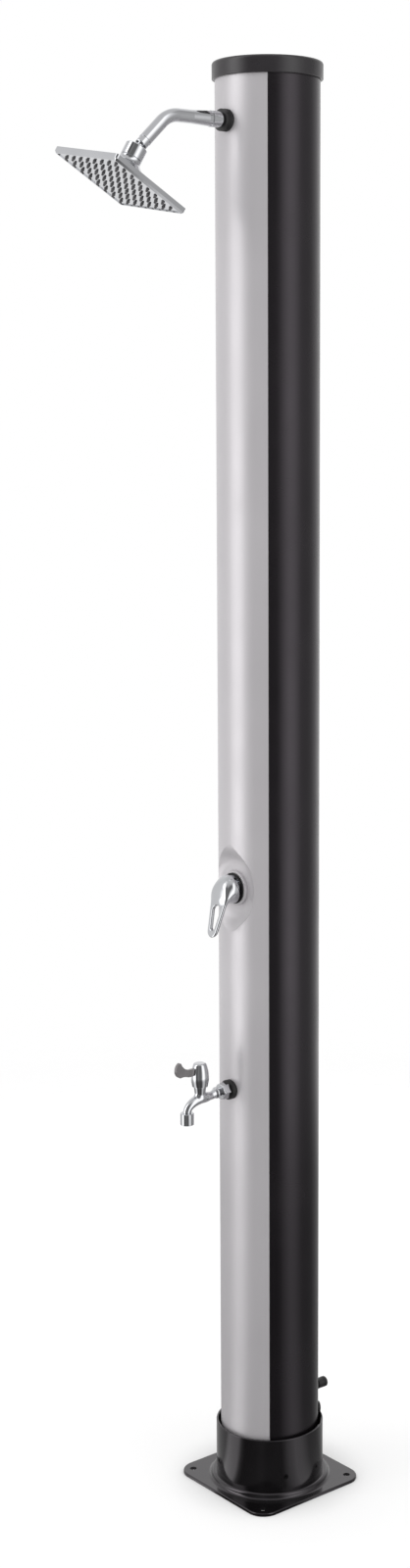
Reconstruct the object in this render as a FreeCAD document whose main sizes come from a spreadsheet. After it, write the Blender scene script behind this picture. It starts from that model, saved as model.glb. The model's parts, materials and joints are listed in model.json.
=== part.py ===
"""Outdoor shower post: a tall round water tank on a bolted foot, with a tilting square
shower head, a single lever mixer and a foot tap.

Millimetres. The origin is the centre of the base plate's underside, +Z is up and the
front of the post, where the fittings are, faces -Y. "Reach" is the distance in front of
the post's axis. Every size is a named cell of the sheet; PLACES holds the formulas that
follow from those sizes, and each sub-part is bound to both by expressions.
"""
import FreeCAD
import Part
import Sketcher
import math
import os
import re

from FreeCAD import Placement, Rotation, Vector

SIZES = {
    # for all pieces: broken edges, and how far a cutting tool runs past what it cuts
    "edge_break": 0.8, "overrun": 1,
    # tank tube, its silver front panel and the caps
    "post_height": 2262, "tube_od": 160, "tube_wall": 4, "panel_thick": 1.2,
    "panel_glue": 0.1, "panel_half_angle": 50, "panel_seam": 0.12, "panel_hole_play": 0.2,
    "cap_depth": 26, "cap_wall": 3.9, "cap_play": 0.3, "cap_top": 4, "cap_round": 5,
    "lid_drop": 27, "lid_thick": 5, "lid_skirt": 22, "plug_wall": 4.5, "plug_play": 0.1,
    "foot_plug_height": 98, "foot_plug_thick": 6, "foot_plug_skirt": 70,
    # pressed base plate with its welded collar
    "plate_ledge": 9, "plate_thick": 5, "plate_corner": 30, "plate_edge_round": 1.5,
    "anchor_inset": 20, "anchor_hole_d": 11,
    "boss_flank": 10, "boss_ledge": 3.5, "boss_height": 14, "boss_bore_d": 100,
    "collar_gap": 4.5, "collar_wall": 3, "collar_height": 101, "collar_lip": 1.2,
    "collar_screw_d": 8, "collar_screw_height": 38, "collar_screw_angle": 22.5,
    "collar_screw_play": 0.05, "screw_socket_d": 4, "screw_socket_depth": 3, "screw_sunk": 0.6,
    # pressed recess round the mixer
    "recess_depth": 14, "recess_flat_d": 76, "recess_blend": 34,
    # heights of the fittings
    "arm_drop": 91, "mixer_height": 1003, "tap_height": 678, "inlet_height": 128,
    "drain_height": 112, "drain_angle": 150,
    # wall unions: threaded tail, gaskets and back nuts
    "tail_d": 21, "tail_play": 0.05, "wall_hole_play": 0.3,
    "gasket_d": 33, "gasket_out": 5, "ring_nut_d": 32.6, "ring_nut_thick": 7, "ring_nut_round": 1.2,
    "ring_groove": 1,
    "backnut_flats": 27, "backnut_thick": 7, "inner_washer_d": 30, "inner_washer_thick": 4,
    "tail_spare": 11,
    # arm
    "socket_d": 24, "socket_length": 20, "socket_bore_d": 14, "spigot_d": 18, "spigot_length": 12,
    "arm_ring_d": 22, "arm_ring_thick": 1.2, "arm_d": 20, "arm_wall": 2,
    "arm_flare_d": 22.4, "arm_flare_face": 5, "arm_flare_length": 34, "arm_run": 75.4,
    "arm_drop_angle": 43, "arm_bend_radius": 45, "arm_leg": 86.4, "stud_length": 27.4,
    # ball joint and head
    "stud_collar_d": 19, "stud_collar_reach": 16.6, "stud_neck_d": 11.6, "stud_bore_d": 7,
    "stud_spigot": 9, "ball_d": 22, "joint_play": 0.3, "seat_thick": 1.2,
    "seat_low_angle": -40, "seat_high_angle": 28, "seal_low_angle": -36, "seal_high_angle": 24,
    "nut_d": 33, "nut_above_ball": 10.6, "nut_below_ball": 9, "nut_throat_d": 21.6, "nut_mouth_d": 24.6,
    "nut_gap": 1, "nut_shoulder": 1.5, "nut_thread_d": 30,
    "head_side": 148, "head_drop": 50.5, "head_rim": 9.5, "head_chamfer": 3, "head_corner": 4,
    "head_wall": 2.4, "bell_top": 11.5, "bell_throat_round": 8, "bell_slope": 43,
    "bell_foot_round": 30, "bell_foot_wall": 14, "bell_crown": 3, "neck_bore_d": 15,
    "face_thick": 1.6, "face_inset": 4.5, "face_recess": 1.4, "face_play": 0.1,
    "nozzle_pitch": 16.8, "nozzle_count": 8, "nozzle_d": 5, "nozzle_tip_d": 3, "nozzle_length": 4.6,
    "nozzle_play": 0.1, "mat_thick": 1.8, "mat_margin": 8,
    "head_tilt": 27.3, "head_lean": 10, "head_turn": 6,
    # mixer: body, ceramic cartridge and lever
    "mixer_body_d": 46, "mixer_body_length": 58.5, "mixer_neck_d": 41, "mixer_flange_d": 60,
    "mixer_flange_thick": 6, "mixer_gasket_thick": 1.5, "mixer_port_d": 18, "mixer_port_rise": 14,
    "way_spacing": 9, "way_d": 6, "clamp_ring_d": 55.6, "clamp_ring_thick": 5.6, "clamp_ring_round": 1.2,
    "rubber_ring_d": 48.8, "rubber_ring_thick": 2, "rubber_overhang": 0.6,
    "cartridge_d": 35, "cartridge_length": 24, "cartridge_wall": 2, "cartridge_lip": 2.2,
    "cartridge_lip_thick": 4.7, "nut_ring_d": 38, "nut_ring_thick": 5, "nut_ring_bore_d": 32,
    "disc_thick": 4, "sliding_disc_d": 21, "sliding_disc_thick": 7, "disc_film": 0.05,
    "carrier_flange_thick": 3.4, "carrier_ball_d": 31, "carrier_front": 12, "lever_pivot_out": 1,
    "spindle_side": 8, "spindle_play": 0.05, "spindle_back": 7, "spindle_front": 30, "spindle_arm": 11.5,
    "spindle_ball_d": 6, "spindle_ball_play": 0.25, "spindle_neck_d": 4.4, "spindle_pin_d": 3,
    "spindle_pin_length": 26, "lever_lift": 20, "slot_spare_angle": 2,
    "hub_rim_d": 41, "hub_d": 46, "hub_shoulder_out": 30, "hub_front_out": 43,
    "hub_skirt_out": 13.2, "hub_skirt_spare": 10, "hub_skirt_slant": 6.5, "hub_cavity_d": 34,
    "lever_drop": 72.3, "lever_root_w": 36, "lever_root_top": 8, "lever_root_drop": 14,
    "lever_tip_w": 19, "lever_thick": 6, "lever_slope": 17.5, "lever_face_out": 33,
    "loop_top": 24, "loop_bottom": 61.5, "loop_top_w": 19, "loop_bottom_w": 9, "loop_top_round": 4,
    "grub_d": 4, "grub_length": 5, "grub_out": 24,
    # pipes in the tank
    "pipe_d": 12, "pipe_wall": 1.5, "pipe_socket": 10, "elbow_run": 27, "port_spacing": 21,
    "hot_pipe_drop": 48, "pipe_bend": 24, "elbow_d": 24, "elbow_leg_d": 18, "elbow_leg": 30,
    "elbow_gap": 5, "elbow_bore_d": 13, "tee_half": 16, "tee_arm": 18, "tee_run_d": 20,
    "tee_branch_bore_d": 8, "fill_hole_d": 7,
    "union_length": 22,
    # foot tap
    "tap_gasket_d": 31.4, "tap_gasket_out": 7, "tap_hex_flats": 23, "tap_hex_length": 15,
    "tap_neck_d": 15, "tap_bead_d": 18.4, "tap_bead_out": 7.5, "tap_bead_w": 7,
    "barrel_length": 32, "tap_stem_d": 20, "tap_stem_foot_d": 15.6, "tap_stem_top": 17,
    "tap_stem_lip": 3, "tap_sag": 2.7, "tap_web": 4, "tap_throat_step": 0.4, "barrel_d": 16.6,
    "barrel_start": 10.5, "barrel_end": 7,
    "tap_chamber_d": 14.6, "tap_chamber_floor": 3, "tap_feed_d": 6,
    "tap_tail_bore_d": 13, "spout_out": 26, "spout_end": 21, "spout_run": 34,
    "spout_drop": 19.3, "spout_thread": 7, "spout_thread_d": 12.2,
    "spout_d": 12.8, "spout_bore_d": 8, "outlet_d": 21.6, "outlet_end": 39.6, "outlet_bore_d": 15,
    "outlet_edge": 0.6, "aerator_thick": 9, "aerator_sunk": 1, "aerator_hole_d": 2,
    "aerator_holes": 6, "aerator_ring_d": 9, "headpart_flange_d": 19, "headpart_flange_thick": 3,
    "headpart_top": 26, "headpart_neck_d": 15, "tap_spindle_d": 8, "tap_spindle_top": 46,
    "tap_hub_foot_d": 24.6, "tap_hub_head_d": 21.6, "tap_hub_swell": 60, "tap_hub_shoulder": 51.5,
    "tap_hub_top": 55, "tap_hub_top_d": 15, "tap_hub_round": 4, "tap_hub_gap": 0.3,
    "tap_hub_cavity_d": 20.2, "tap_lever_height": 42.5, "tap_lever_neck": 11.5,
    "tap_lever_flare": 24, "tap_lever_rise": 7.7, "tap_lever_thick": 5, "tap_lever_length": 48.5,
    "tap_lever_root": 6, "tail_run": 26.4, "tail_low_back": 8.4, "tail_tip_rise": 1, "tail_high_back": 7,
    "tail_lip_back": 9.8, "tail_lip_drop": 1, "tail_round": 12, "tail_lip_round": 2.7,
    "tail_upper_round": 20.4, "tap_grub_height": 34,
    # hose inlet and drain
    "inlet_flange_d": 34, "inlet_flange_thick": 4, "inlet_neck_d": 14, "inlet_collar_out": 7,
    "inlet_collar_d": 19, "inlet_collar_w": 4, "inlet_plug_out": 7, "inlet_plug_d": 17,
    "inlet_plug_w": 11, "inlet_groove_d": 13.6, "inlet_groove_w": 3, "inlet_plug_length": 18,
    "inlet_bore_d": 9, "inlet_seal_d": 17.2,
    "drain_d": 18, "drain_head": 4.5, "drain_dome": 1.8, "drain_shank_d": 12, "drain_gasket_d": 17,
    "drain_gasket_out": 1, "drain_slot": 1.8, "drain_slot_deep": 1.4, "drain_nut_flats": 19,
    "drain_nut_thick": 5, "drain_spare": 4.6, "drain_nut_flange": 2.4,
}

PLACES = {
    "tube_r": "tube_od / 2",
    "arm_height": "post_height - arm_drop",
    "hot_pipe_top": "post_height - hot_pipe_drop",
    "bore_r": "tube_r - tube_wall",
    "tube_top": "post_height - cap_top - cap_play",
    "tube_foot": "boss_height",
    "cap_r": "tube_r + cap_play + cap_wall",
    "plug_r": "bore_r - plug_play",
    "flat_reach": "tube_r - recess_depth",
    "flat_back": "flat_reach - tube_wall",
    "tail_r": "tail_d / 2",
    "wall_hole_r": "tail_r + wall_hole_play",
    "face_reach": "tube_r + gasket_out",
    "nut_reach": "face_reach + ring_nut_thick",
    "washer_reach": "bore_r - inner_washer_thick",
    "backnut_reach": "washer_reach - backnut_thick",
    "socket_end": "nut_reach + socket_length",
    "arm_start": "socket_end + arm_ring_thick",
    "ball_reach": "arm_corner_reach + arm_leg * cos(arm_drop_angle)",
    "ball_height": "arm_height - arm_leg * sin(arm_drop_angle)",
    "ball_r": "ball_d / 2",
    "seat_in": "ball_r + joint_play",
    "seal_in": "seat_in + seat_thick + joint_play",
    "cavity_r": "seal_in + seat_thick + joint_play",
    "head_back": "head_drop - head_rim",
    "ceiling": "head_back + head_wall",
    "mat_foot": "head_drop - face_recess - face_thick",
    "nozzle_first": "nozzle_pitch * (nozzle_count - 1) / 2",
    "nozzle_tip": "head_drop - face_recess + nozzle_length",
    "cone_top_x": "nut_d / 2 + bell_throat_round * (1 - sin(bell_slope))",
    "cone_top_y": "bell_top + bell_throat_round * cos(bell_slope)",
    "cone_foot_y": "head_back - bell_foot_round * (1 - cos(bell_slope))",
    "cone_foot_x": "cone_top_x + (cone_foot_y - cone_top_y) / tan(bell_slope)",
    "bell_foot_x": "cone_foot_x + bell_foot_round * sin(bell_slope)",
    "mixer_r": "mixer_body_d / 2",
    "neck_r": "mixer_neck_d / 2",
    "clamp_reach": "flat_reach + clamp_ring_thick",
    "rubber_reach": "clamp_reach + rubber_ring_thick",
    "neck_reach": "rubber_reach - rubber_overhang",
    "mixer_seat_reach": "flat_back - mixer_gasket_thick",
    "mixer_port_top": "mixer_r + mixer_port_rise",
    "mixer_pipe_seat": "mixer_port_top - pipe_socket",
    "cartridge_bore_r": "cartridge_d / 2 + tail_play",
    "cartridge_in_r": "cartridge_d / 2 - cartridge_wall",
    "base_disc_reach": "cartridge_back_reach + disc_thick",
    "slide_reach": "base_disc_reach + disc_thick + disc_film",
    "slide_top_reach": "slide_reach + sliding_disc_thick",
    "lip_reach": "flat_reach - cartridge_lip_thick",
    "carrier_flange_reach": "lip_reach - joint_play - carrier_flange_thick",
    "carrier_neck_r": "cartridge_in_r - cartridge_lip - joint_play",
    "spindle_r": "spindle_side / 2",
    "pipe_r": "pipe_d / 2",
    "pipe_hole_r": "pipe_r + tail_play",
    "elbow_seat": "elbow_leg - pipe_socket",
    "tee_seat": "tee_half - pipe_socket",
    "tap_face_reach": "tube_r + tap_gasket_out",
    "hex_reach": "tap_face_reach + tap_hex_length",
    "hub_foot": "tap_stem_top + tap_hub_gap",
    "inlet_face_reach": "face_reach + inlet_flange_thick",
    "drain_face_reach": "tube_r + drain_gasket_out",
    "drain_nut_reach": "bore_r - drain_nut_flange",
    "cold_height": "mixer_height - way_spacing",
    "tee_face": "riser_reach - tee_arm",
    "collar_od": "tube_od + 2 * (collar_gap + collar_wall)",
    "boss_top_d": "collar_od + 2 * boss_ledge",
    "boss_foot_d": "boss_top_d + 2 * boss_flank",
    "plate_side": "boss_foot_d + 2 * plate_ledge",
    "anchor_spacing": "plate_side - 2 * anchor_inset",
    "union_tail_reach": "backnut_reach - tail_spare",
    "elbow_end_reach": "backnut_reach - elbow_gap",
    "riser_reach": "elbow_end_reach - elbow_run",
    "hot_reach": "riser_reach - port_spacing",
    "union_back_reach": "elbow_end_reach - union_length",
    "mixer_back_reach": "mixer_seat_reach - mixer_body_length",
    "cartridge_back_reach": "flat_reach - cartridge_length",
    "lever_pivot_reach": "flat_reach + lever_pivot_out",
    "hub_shoulder_reach": "lever_pivot_reach + hub_shoulder_out",
    "hub_front_reach": "lever_pivot_reach + hub_front_out",
    "hub_skirt_reach": "lever_pivot_reach + hub_skirt_out",
    "lever_face_reach": "lever_pivot_reach + lever_face_out",
    "grub_reach": "lever_pivot_reach + grub_out",
    "arm_corner_reach": "arm_start + arm_run",
    "tap_bead_reach": "hex_reach + tap_bead_out",
    "tap_stem_reach": "tap_bead_reach + barrel_length",
    "spout_reach": "tap_stem_reach + spout_out",
    "tap_lever_tip_reach": "tap_stem_reach + tap_lever_length",
    "inlet_collar_reach": "inlet_face_reach + inlet_collar_out",
    "inlet_plug_reach": "inlet_collar_reach + inlet_plug_out",
    "inlet_tip_reach": "inlet_plug_reach + inlet_plug_length",
    "drain_shank_end": "drain_nut_reach - drain_nut_thick - drain_spare",
}

doc = FreeCAD.newDocument("OutdoorShowerPost")
sheet = doc.addObject("Spreadsheet::Sheet", "Sizes")
for row, (name, size) in enumerate(SIZES.items(), start=1):
    sheet.set("A%d" % row, name)
    sheet.set("B%d" % row, str(size))
    sheet.setAlias("B%d" % row, name)
doc.recompute()

TOWARDS_FRONT = Rotation(Vector(1, 0, 0), 90)                    # local Z runs along the reach
TOWARDS_BACK = Rotation(Vector(0, 0, 1), 180) * TOWARDS_FRONT
ACROSS = Rotation(Vector(0, 1, 0), 90)                           # local Z runs along X
UPRIGHT = Rotation()

nodes = []


def bound(formula):
    """A formula of named sizes and places, as the document reads it."""
    def swap(found):
        word = found.group(0)
        if word in PLACES:
            return "(" + bound(PLACES[word]) + ")"
        return "Sizes." + word if word in SIZES else word
    return re.sub(r"[A-Za-z_]\w*", swap, formula)


def size(formula):
    """The value of a formula of named sizes and places."""
    return float(sheet.evalExpression(bound(formula)))


def tie(thing, **formulas):
    """Bind properties of an object to formulas."""
    for name, formula in formulas.items():
        thing.setExpression(name, bound(formula))


def put(thing, rotation=UPRIGHT, x="0", y="0", z="0"):
    """Place an object by formulas."""
    thing.Placement = Placement(Vector(), rotation)
    for axis, formula in (("x", x), ("y", y), ("z", z)):
        if formula != "0":
            thing.setExpression("Placement.Base." + axis, bound(formula))
    return thing


def keep(thing, label):
    """Name a finished sub-part."""
    thing.Label = label
    nodes.append(thing)
    return thing


# ---- primitives ------------------------------------------------------------------------

def rod(radius, start, end, angle=None, **place):
    """A round bar along its local Z from start to end."""
    bar = doc.addObject("Part::Cylinder", "rod")
    tie(bar, Radius=radius, Height="(%s) - (%s)" % (end, start))
    if angle:
        tie(bar, Angle=angle)
    rotation = place.pop("rotation", UPRIGHT)
    along = rotation.multVec(Vector(0, 0, 1))
    for axis, share in (("x", along.x), ("y", along.y), ("z", along.z)):
        if abs(share) > 0.5:
            place[axis] = "%s %s (%s)" % (place.get(axis, "0"), "+" if share > 0 else "-", start)
    return put(bar, rotation, **place)


def ahead(radius, start, end, height):
    """A round bar along the reach at a height; a reach below 0 is behind the post's axis."""
    return rod(radius, start, end, rotation=TOWARDS_FRONT, z=height)


def upright(radius, low, high, reach="0"):
    """A round bar that stands at a reach."""
    return rod(radius, low, high, y="-(%s)" % reach)


def across(radius, start, end, reach, height):
    """A round bar along X."""
    return rod(radius, start, end, rotation=ACROSS, y="-(%s)" % reach, z=height)


def hexagon(flats, start, end, height):
    """A six sided bar along the reach."""
    prism = doc.addObject("Part::Prism", "hexagon")
    prism.Polygon = 6
    tie(prism, Circumradius="(%s) / sqrt(3)" % flats, Height="(%s) - (%s)" % (end, start))
    return put(prism, TOWARDS_FRONT, y="-(%s)" % start, z=height)


def cut(base, tool):
    """One object without another."""
    result = doc.addObject("Part::Cut", "cut")
    result.Base, result.Tool = base, tool
    return result


def joined(*things):
    """Several objects in one."""
    result = doc.addObject("Part::MultiFuse", "joined")
    result.Shapes = list(things)
    return result


def shared(*things):
    """What several objects have in common."""
    result = doc.addObject("Part::MultiCommon", "shared")
    result.Shapes = list(things)
    return result


# ---- sketched bodies -------------------------------------------------------------------

def origin_plane(body, role):
    """One of the body's own origin planes or axes."""
    return next(o for o in body.Origin.OriginFeatures if o.Role == role)


def arc_between(start, end, radius):
    """An arc from start to end that turns left for a radius above 0 and right below it."""
    chord = end - start
    rise = math.sqrt(max(radius * radius - chord.Length ** 2 / 4, 0))
    left = Vector(-chord.y, chord.x, 0).normalize()
    centre = (start + end) * 0.5 + left * math.copysign(rise, radius)
    first = math.atan2(start.y - centre.y, start.x - centre.x)
    last = math.atan2(end.y - centre.y, end.x - centre.x)
    if radius < 0:
        first, last = last, first
    circle = Part.Circle(centre, Vector(0, 0, 1), abs(radius))
    return Part.ArcOfCircle(circle, first, last)


def outline(body, role, points, closed=True):
    """A sketch on one of the body's origin planes.

    Each point is (x, y) or (x, y, radius), where radius makes an arc to the next point.
    """
    sketch = body.newObject("Sketcher::SketchObject", "outline")
    sketch.AttachmentSupport = (origin_plane(body, role), [""])
    sketch.MapMode = "FlatFace"
    places = [Vector(size(point[0]), size(point[1]), 0) for point in points]
    ends = []
    for n in range(len(points) if closed else len(points) - 1):
        start, end = places[n], places[(n + 1) % len(places)]
        if len(points[n]) == 3:
            bend = size(points[n][2])
            curve = sketch.addGeometry(arc_between(start, end, bend), False)
            ends.append((curve, 1, 2) if bend > 0 else (curve, 2, 1))
            limit = sketch.addConstraint(Sketcher.Constraint("Radius", curve, abs(bend)))
            sign = "" if bend > 0 else "-1 * "
            sketch.setExpression("Constraints[%d]" % limit, sign + "(" + bound(points[n][2]) + ")")
        else:
            ends.append((sketch.addGeometry(Part.LineSegment(start, end), False), 1, 2))
    for (curve, _, last), (following, first, _) in zip(ends, ends[1:] + ends[:1] if closed else ends[1:]):
        sketch.addConstraint(Sketcher.Constraint("Coincident", curve, last, following, first))
    corners = [(curve, first) for curve, first, _ in ends]
    if not closed:
        corners.append((ends[-1][0], ends[-1][2]))
    for (curve, corner), point, place in zip(corners, points, places):
        pin_down(sketch, curve, corner, "X", point[0], place.x)
        pin_down(sketch, curve, corner, "Y", point[1], place.y)
    return sketch


def pin_down(sketch, curve, corner, axis, formula, value):
    """Hold one coordinate of a sketch's corner at a formula."""
    if formula == "0":
        line = -2 if axis == "X" else -1
        sketch.addConstraint(Sketcher.Constraint("PointOnObject", curve, corner, line))
        return
    limit = sketch.addConstraint(Sketcher.Constraint("Distance" + axis, -1, 1, curve, corner, value))
    sketch.setExpression("Constraints[%d]" % limit, bound(formula))


def circle(body, role, x, y, radius):
    """A sketch of one circle."""
    sketch = body.newObject("Sketcher::SketchObject", "circle")
    sketch.AttachmentSupport = (origin_plane(body, role), [""])
    sketch.MapMode = "FlatFace"
    centre = Vector(size(x), size(y), 0)
    sketch.addGeometry(Part.Circle(centre, Vector(0, 0, 1), size(radius)), False)
    limit = sketch.addConstraint(Sketcher.Constraint("Radius", 0, size(radius)))
    sketch.setExpression("Constraints[%d]" % limit, bound(radius))
    pin_down(sketch, 0, 3, "X", x, centre.x)
    pin_down(sketch, 0, 3, "Y", y, centre.y)
    return sketch


def new_body(name):
    """An empty body."""
    return doc.addObject("PartDesign::Body", name)


def turn(body, points):
    """Revolve an outline of (radius, height) points about the body's Z axis."""
    feature = body.newObject("PartDesign::Revolution", "turn")
    feature.Profile = outline(body, "XZ_Plane", points)
    feature.ReferenceAxis = (feature.Profile[0], ["V_Axis"])
    feature.Angle = 360
    return feature


def groove(body, points):
    """Turn an outline of (radius, height) points out of the body."""
    feature = body.newObject("PartDesign::Groove", "groove")
    feature.Profile = outline(body, "XZ_Plane", points)
    feature.ReferenceAxis = (feature.Profile[0], ["V_Axis"])
    feature.Angle = 360
    return feature


def pad(body, sketch, length, both=False, back=False):
    """Extrude a sketch."""
    feature = body.newObject("PartDesign::Pad", "pad")
    feature.Profile = sketch
    feature.Midplane = both
    feature.Reversed = back
    tie(feature, Length=length)
    return feature


def pocket(body, sketch, length, both=False, back=False):
    """Cut a sketch out of the body; it has to take material away."""
    doc.recompute()
    before = body.Shape.Volume
    feature = body.newObject("PartDesign::Pocket", "pocket")
    feature.Profile = sketch
    feature.Midplane = both
    feature.Reversed = back
    tie(feature, Length=length)
    doc.recompute()
    if not body.Shape.Volume < before - 1e-6:
        raise RuntimeError(body.Label + ": a pocket cuts nothing")
    return feature


def around(body, feature, count, axis="Z_Axis"):
    """Repeat a feature evenly round one of the body's axes."""
    pattern = body.newObject("PartDesign::PolarPattern", "around")
    pattern.Originals = [feature]
    pattern.Axis = (origin_plane(body, axis), [""])
    pattern.Angle = 360
    pattern.Occurrences = count
    body.Tip = pattern
    return pattern


def turned(label, points, rotation=UPRIGHT, **place):
    """A turned sub-part: one outline revolved about its axis."""
    body = new_body(label)
    turn(body, points)
    return keep(put(body, rotation, **place), label)


def ring_points(inner, outer, start, end):
    """The outline of a plain ring."""
    return [(inner, start), (outer, start), (outer, end), (inner, end)]


# ---- base plate, collar and its screws -----------------------------------------------------

def base_plate():
    """Pressed steel plate: rounded square, raised round seat for the collar, four anchor holes."""
    body = new_body("base_plate")
    half, straight = "plate_side / 2", "(plate_side / 2 - plate_corner)"
    pad(body, outline(body, "XY_Plane", [
        ("-" + straight, "-" + half), (straight, "-" + half, "plate_corner"),
        (half, "-" + straight), (half, straight, "plate_corner"),
        (straight, half), ("-" + straight, half, "plate_corner"),
        ("-" + half, straight), ("-" + half, "-" + straight, "plate_corner"),
    ]), "plate_thick")
    foot, top = "boss_foot_d / 2", "boss_top_d / 2"
    swell = "((boss_foot_d - boss_top_d) ^ 2 / 16 + (boss_height - plate_thick) ^ 2 / 4) " \
            "/ (boss_height - plate_thick)"
    turn(body, [
        (foot, "0"), (foot, "plate_thick", "-(%s)" % swell),
        ("(boss_foot_d + boss_top_d) / 4", "(boss_height + plate_thick) / 2", swell),
        (top, "boss_height"), ("boss_bore_d / 2", "boss_height"), ("boss_bore_d / 2", "0"),
    ])
    inside = "boss_top_d / 2 - plate_thick"
    groove(body, [
        ("0", "-overrun"), (inside, "-overrun"), (inside, "boss_height - plate_thick"),
        ("0", "boss_height - plate_thick"),
    ])
    hole = pocket(body, circle(body, "XY_Plane", "anchor_spacing / 2", "anchor_spacing / 2",
                               "anchor_hole_d / 2"), "boss_height * 2", both=True)
    around(body, hole, 4)
    doc.recompute()
    rim = [
        "Edge%d" % (n + 1) for n, edge in enumerate(body.Shape.Edges)
        if abs(edge.BoundBox.ZMin - size("plate_thick")) < 1e-3
        and abs(edge.BoundBox.ZMax - size("plate_thick")) < 1e-3
        and len(edge.Vertexes) == 2
    ]
    before = body.Tip
    rounding = body.newObject("PartDesign::Fillet", "rounding")
    rounding.Base = (before, rim)
    tie(rounding, Radius="plate_edge_round")
    body.Tip = rounding
    return keep(body, "base_plate")


def base_collar():
    """Steel ring welded on the plate's raised seat, with four tapped holes."""
    body = new_body("base_collar")
    outer, inner, lip = "collar_od / 2", "(collar_od / 2 - collar_wall)", "collar_lip"
    turn(body, [
        (inner, "boss_height"), (outer, "boss_height"),
        (outer, "collar_height - " + lip, lip), (outer + " - " + lip, "collar_height"),
        (inner, "collar_height"),
    ])
    hole = pocket(body, circle(body, "XZ_Plane", "0", "collar_screw_height", "collar_screw_d / 2"),
                  "collar_od", back=True)
    around(body, hole, 4)
    put(body, Rotation(Vector(0, 0, 1), -size("collar_screw_angle")))
    return keep(body, "base_collar")


def collar_screws():
    """Four socket set screws that clamp the tube in the collar."""
    screws = []
    radius = "collar_screw_d / 2 - collar_screw_play"
    outer_end = "collar_od / 2 - screw_sunk"
    for turn_by in (0, 90, 180, 270):
        shank = rod(radius, "tube_r", outer_end)
        socket = doc.addObject("Part::Prism", "socket")
        socket.Polygon = 6
        tie(socket, Circumradius="screw_socket_d / 2", Height="screw_socket_depth + overrun")
        put(socket, UPRIGHT, z=outer_end + " - screw_socket_depth")
        screw = cut(shank, socket)
        spin = Rotation(Vector(0, 0, 1), turn_by - size("collar_screw_angle"))
        screws.append(put(screw, spin * TOWARDS_FRONT, z="collar_screw_height"))
    group = doc.addObject("Part::Compound", "collar_screws")
    group.Links = screws
    return keep(group, "collar_screws")


# ---- tank tube, front panel, plugs and cap ----------------------------------------------------

def dish(drop):
    """The pressing tool of the mixer's recess, set back from the surface by drop."""
    body = new_body("dish")
    flat, half_depth = "recess_flat_d / 2", "recess_depth / 2"
    swing = "((recess_blend / 2) ^ 2 + (recess_depth / 2) ^ 2) / recess_depth"
    turn(body, [
        ("0", "flat_reach"), (flat, "flat_reach", swing),
        (flat + " + recess_blend / 2", "flat_reach + " + half_depth, "-(%s)" % swing),
        (flat + " + recess_blend", "tube_r"), (flat + " + recess_blend", "tube_od"),
        ("0", "tube_od"),
    ])
    return put(body, TOWARDS_FRONT, y=drop, z="mixer_height")


def barrel(radius, margin="0", angle=None):
    """A round bar as tall as the tube, or a sector of it that is centred on the front."""
    start, end = "tube_foot - (%s)" % margin, "tube_top + (%s)" % margin
    if angle:
        return rod(radius, start, end, angle,
                   rotation=Rotation(Vector(0, 0, 1), -90 - size(angle) / 2))
    return rod(radius, start, end)


def front_holes(extra):
    """Bars through the front wall where the arm, the mixer and the tap pass it."""
    union_hole = "wall_hole_r + " + extra
    return joined(
        rod(union_hole, "0", "tube_od", rotation=TOWARDS_FRONT, z="arm_height"),
        rod("mixer_neck_d / 2 + wall_hole_play + " + extra, "0", "tube_od",
            rotation=TOWARDS_FRONT, z="mixer_height"),
        rod(union_hole, "0", "tube_od", rotation=TOWARDS_FRONT, z="tap_height"))


def front_panel():
    """Silver skin over the front of the tube, pressed in with it round the mixer."""
    outer = cut(barrel("tube_r", angle="panel_half_angle * 2"), dish("0"))
    inner = cut(barrel("tube_r - panel_thick", "overrun"), dish("panel_thick"))
    return keep(cut(cut(outer, inner), front_holes("panel_hole_play")), "front_panel")


def tank_tube():
    """Black tube that holds the water: shallow rebate for the panel, pressed recess, five holes."""
    rebate_floor = "panel_thick + panel_glue"
    skin = cut(barrel("tube_r"), dish("0"))
    sector = barrel("tube_r + overrun", "overrun", "panel_half_angle * 2 + panel_seam * 2")
    rebate = cut(sector, cut(barrel("tube_r - (%s)" % rebate_floor, "overrun * 2"), dish(rebate_floor)))
    bore = cut(barrel("bore_r", "overrun * 3"), dish("tube_wall"))
    inlet = rod("wall_hole_r", "0", "tube_od", rotation=TOWARDS_BACK, z="inlet_height")
    drain_way = Rotation(Vector(0, 0, 1), size("drain_angle")) * TOWARDS_FRONT
    drain = doc.addObject("Part::Cylinder", "rod")
    tie(drain, Radius="drain_shank_d / 2 + wall_hole_play", Height="tube_od")
    put(drain, drain_way, z="drain_height")
    holes = joined(front_holes("0"), inlet, drain)
    return keep(cut(cut(cut(skin, rebate), bore), holes), "tank_tube")


def caps():
    """Top cap, the lid that closes the tank under it, and the plug in the tube's foot."""
    top, inner = "post_height", "tube_r + cap_play"
    turned("top_cap", [
        ("0", top), ("0", top + " - cap_top"), (inner, top + " - cap_top"),
        (inner, top + " - cap_depth"), ("cap_r - edge_break", top + " - cap_depth"),
        ("cap_r", top + " - cap_depth + edge_break"), ("cap_r", top + " - cap_round", "cap_round"),
        ("cap_r - cap_round", top),
    ])
    lid = "tube_top - lid_drop"
    turned("tank_lid", [
        ("0", lid), ("plug_r", lid), ("plug_r", lid + " + lid_skirt"),
        ("plug_r - plug_wall", lid + " + lid_skirt"), ("plug_r - plug_wall", lid + " + lid_thick"),
        ("0", lid + " + lid_thick"),
    ])
    floor = "foot_plug_height"
    turned("tank_foot_plug", [
        ("0", floor), ("plug_r", floor), ("plug_r", floor + " - foot_plug_skirt"),
        ("plug_r - plug_wall", floor + " - foot_plug_skirt"),
        ("plug_r - plug_wall", floor + " - foot_plug_thick"), ("0", floor + " - foot_plug_thick"),
    ])


# ---- wall unions --------------------------------------------------------------------------------

def spun(thing, angle):
    """Turn a piece made at the front round the post's axis."""
    thing.Placement = Placement(Vector(), Rotation(Vector(0, 0, 1), angle))
    return thing


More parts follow.
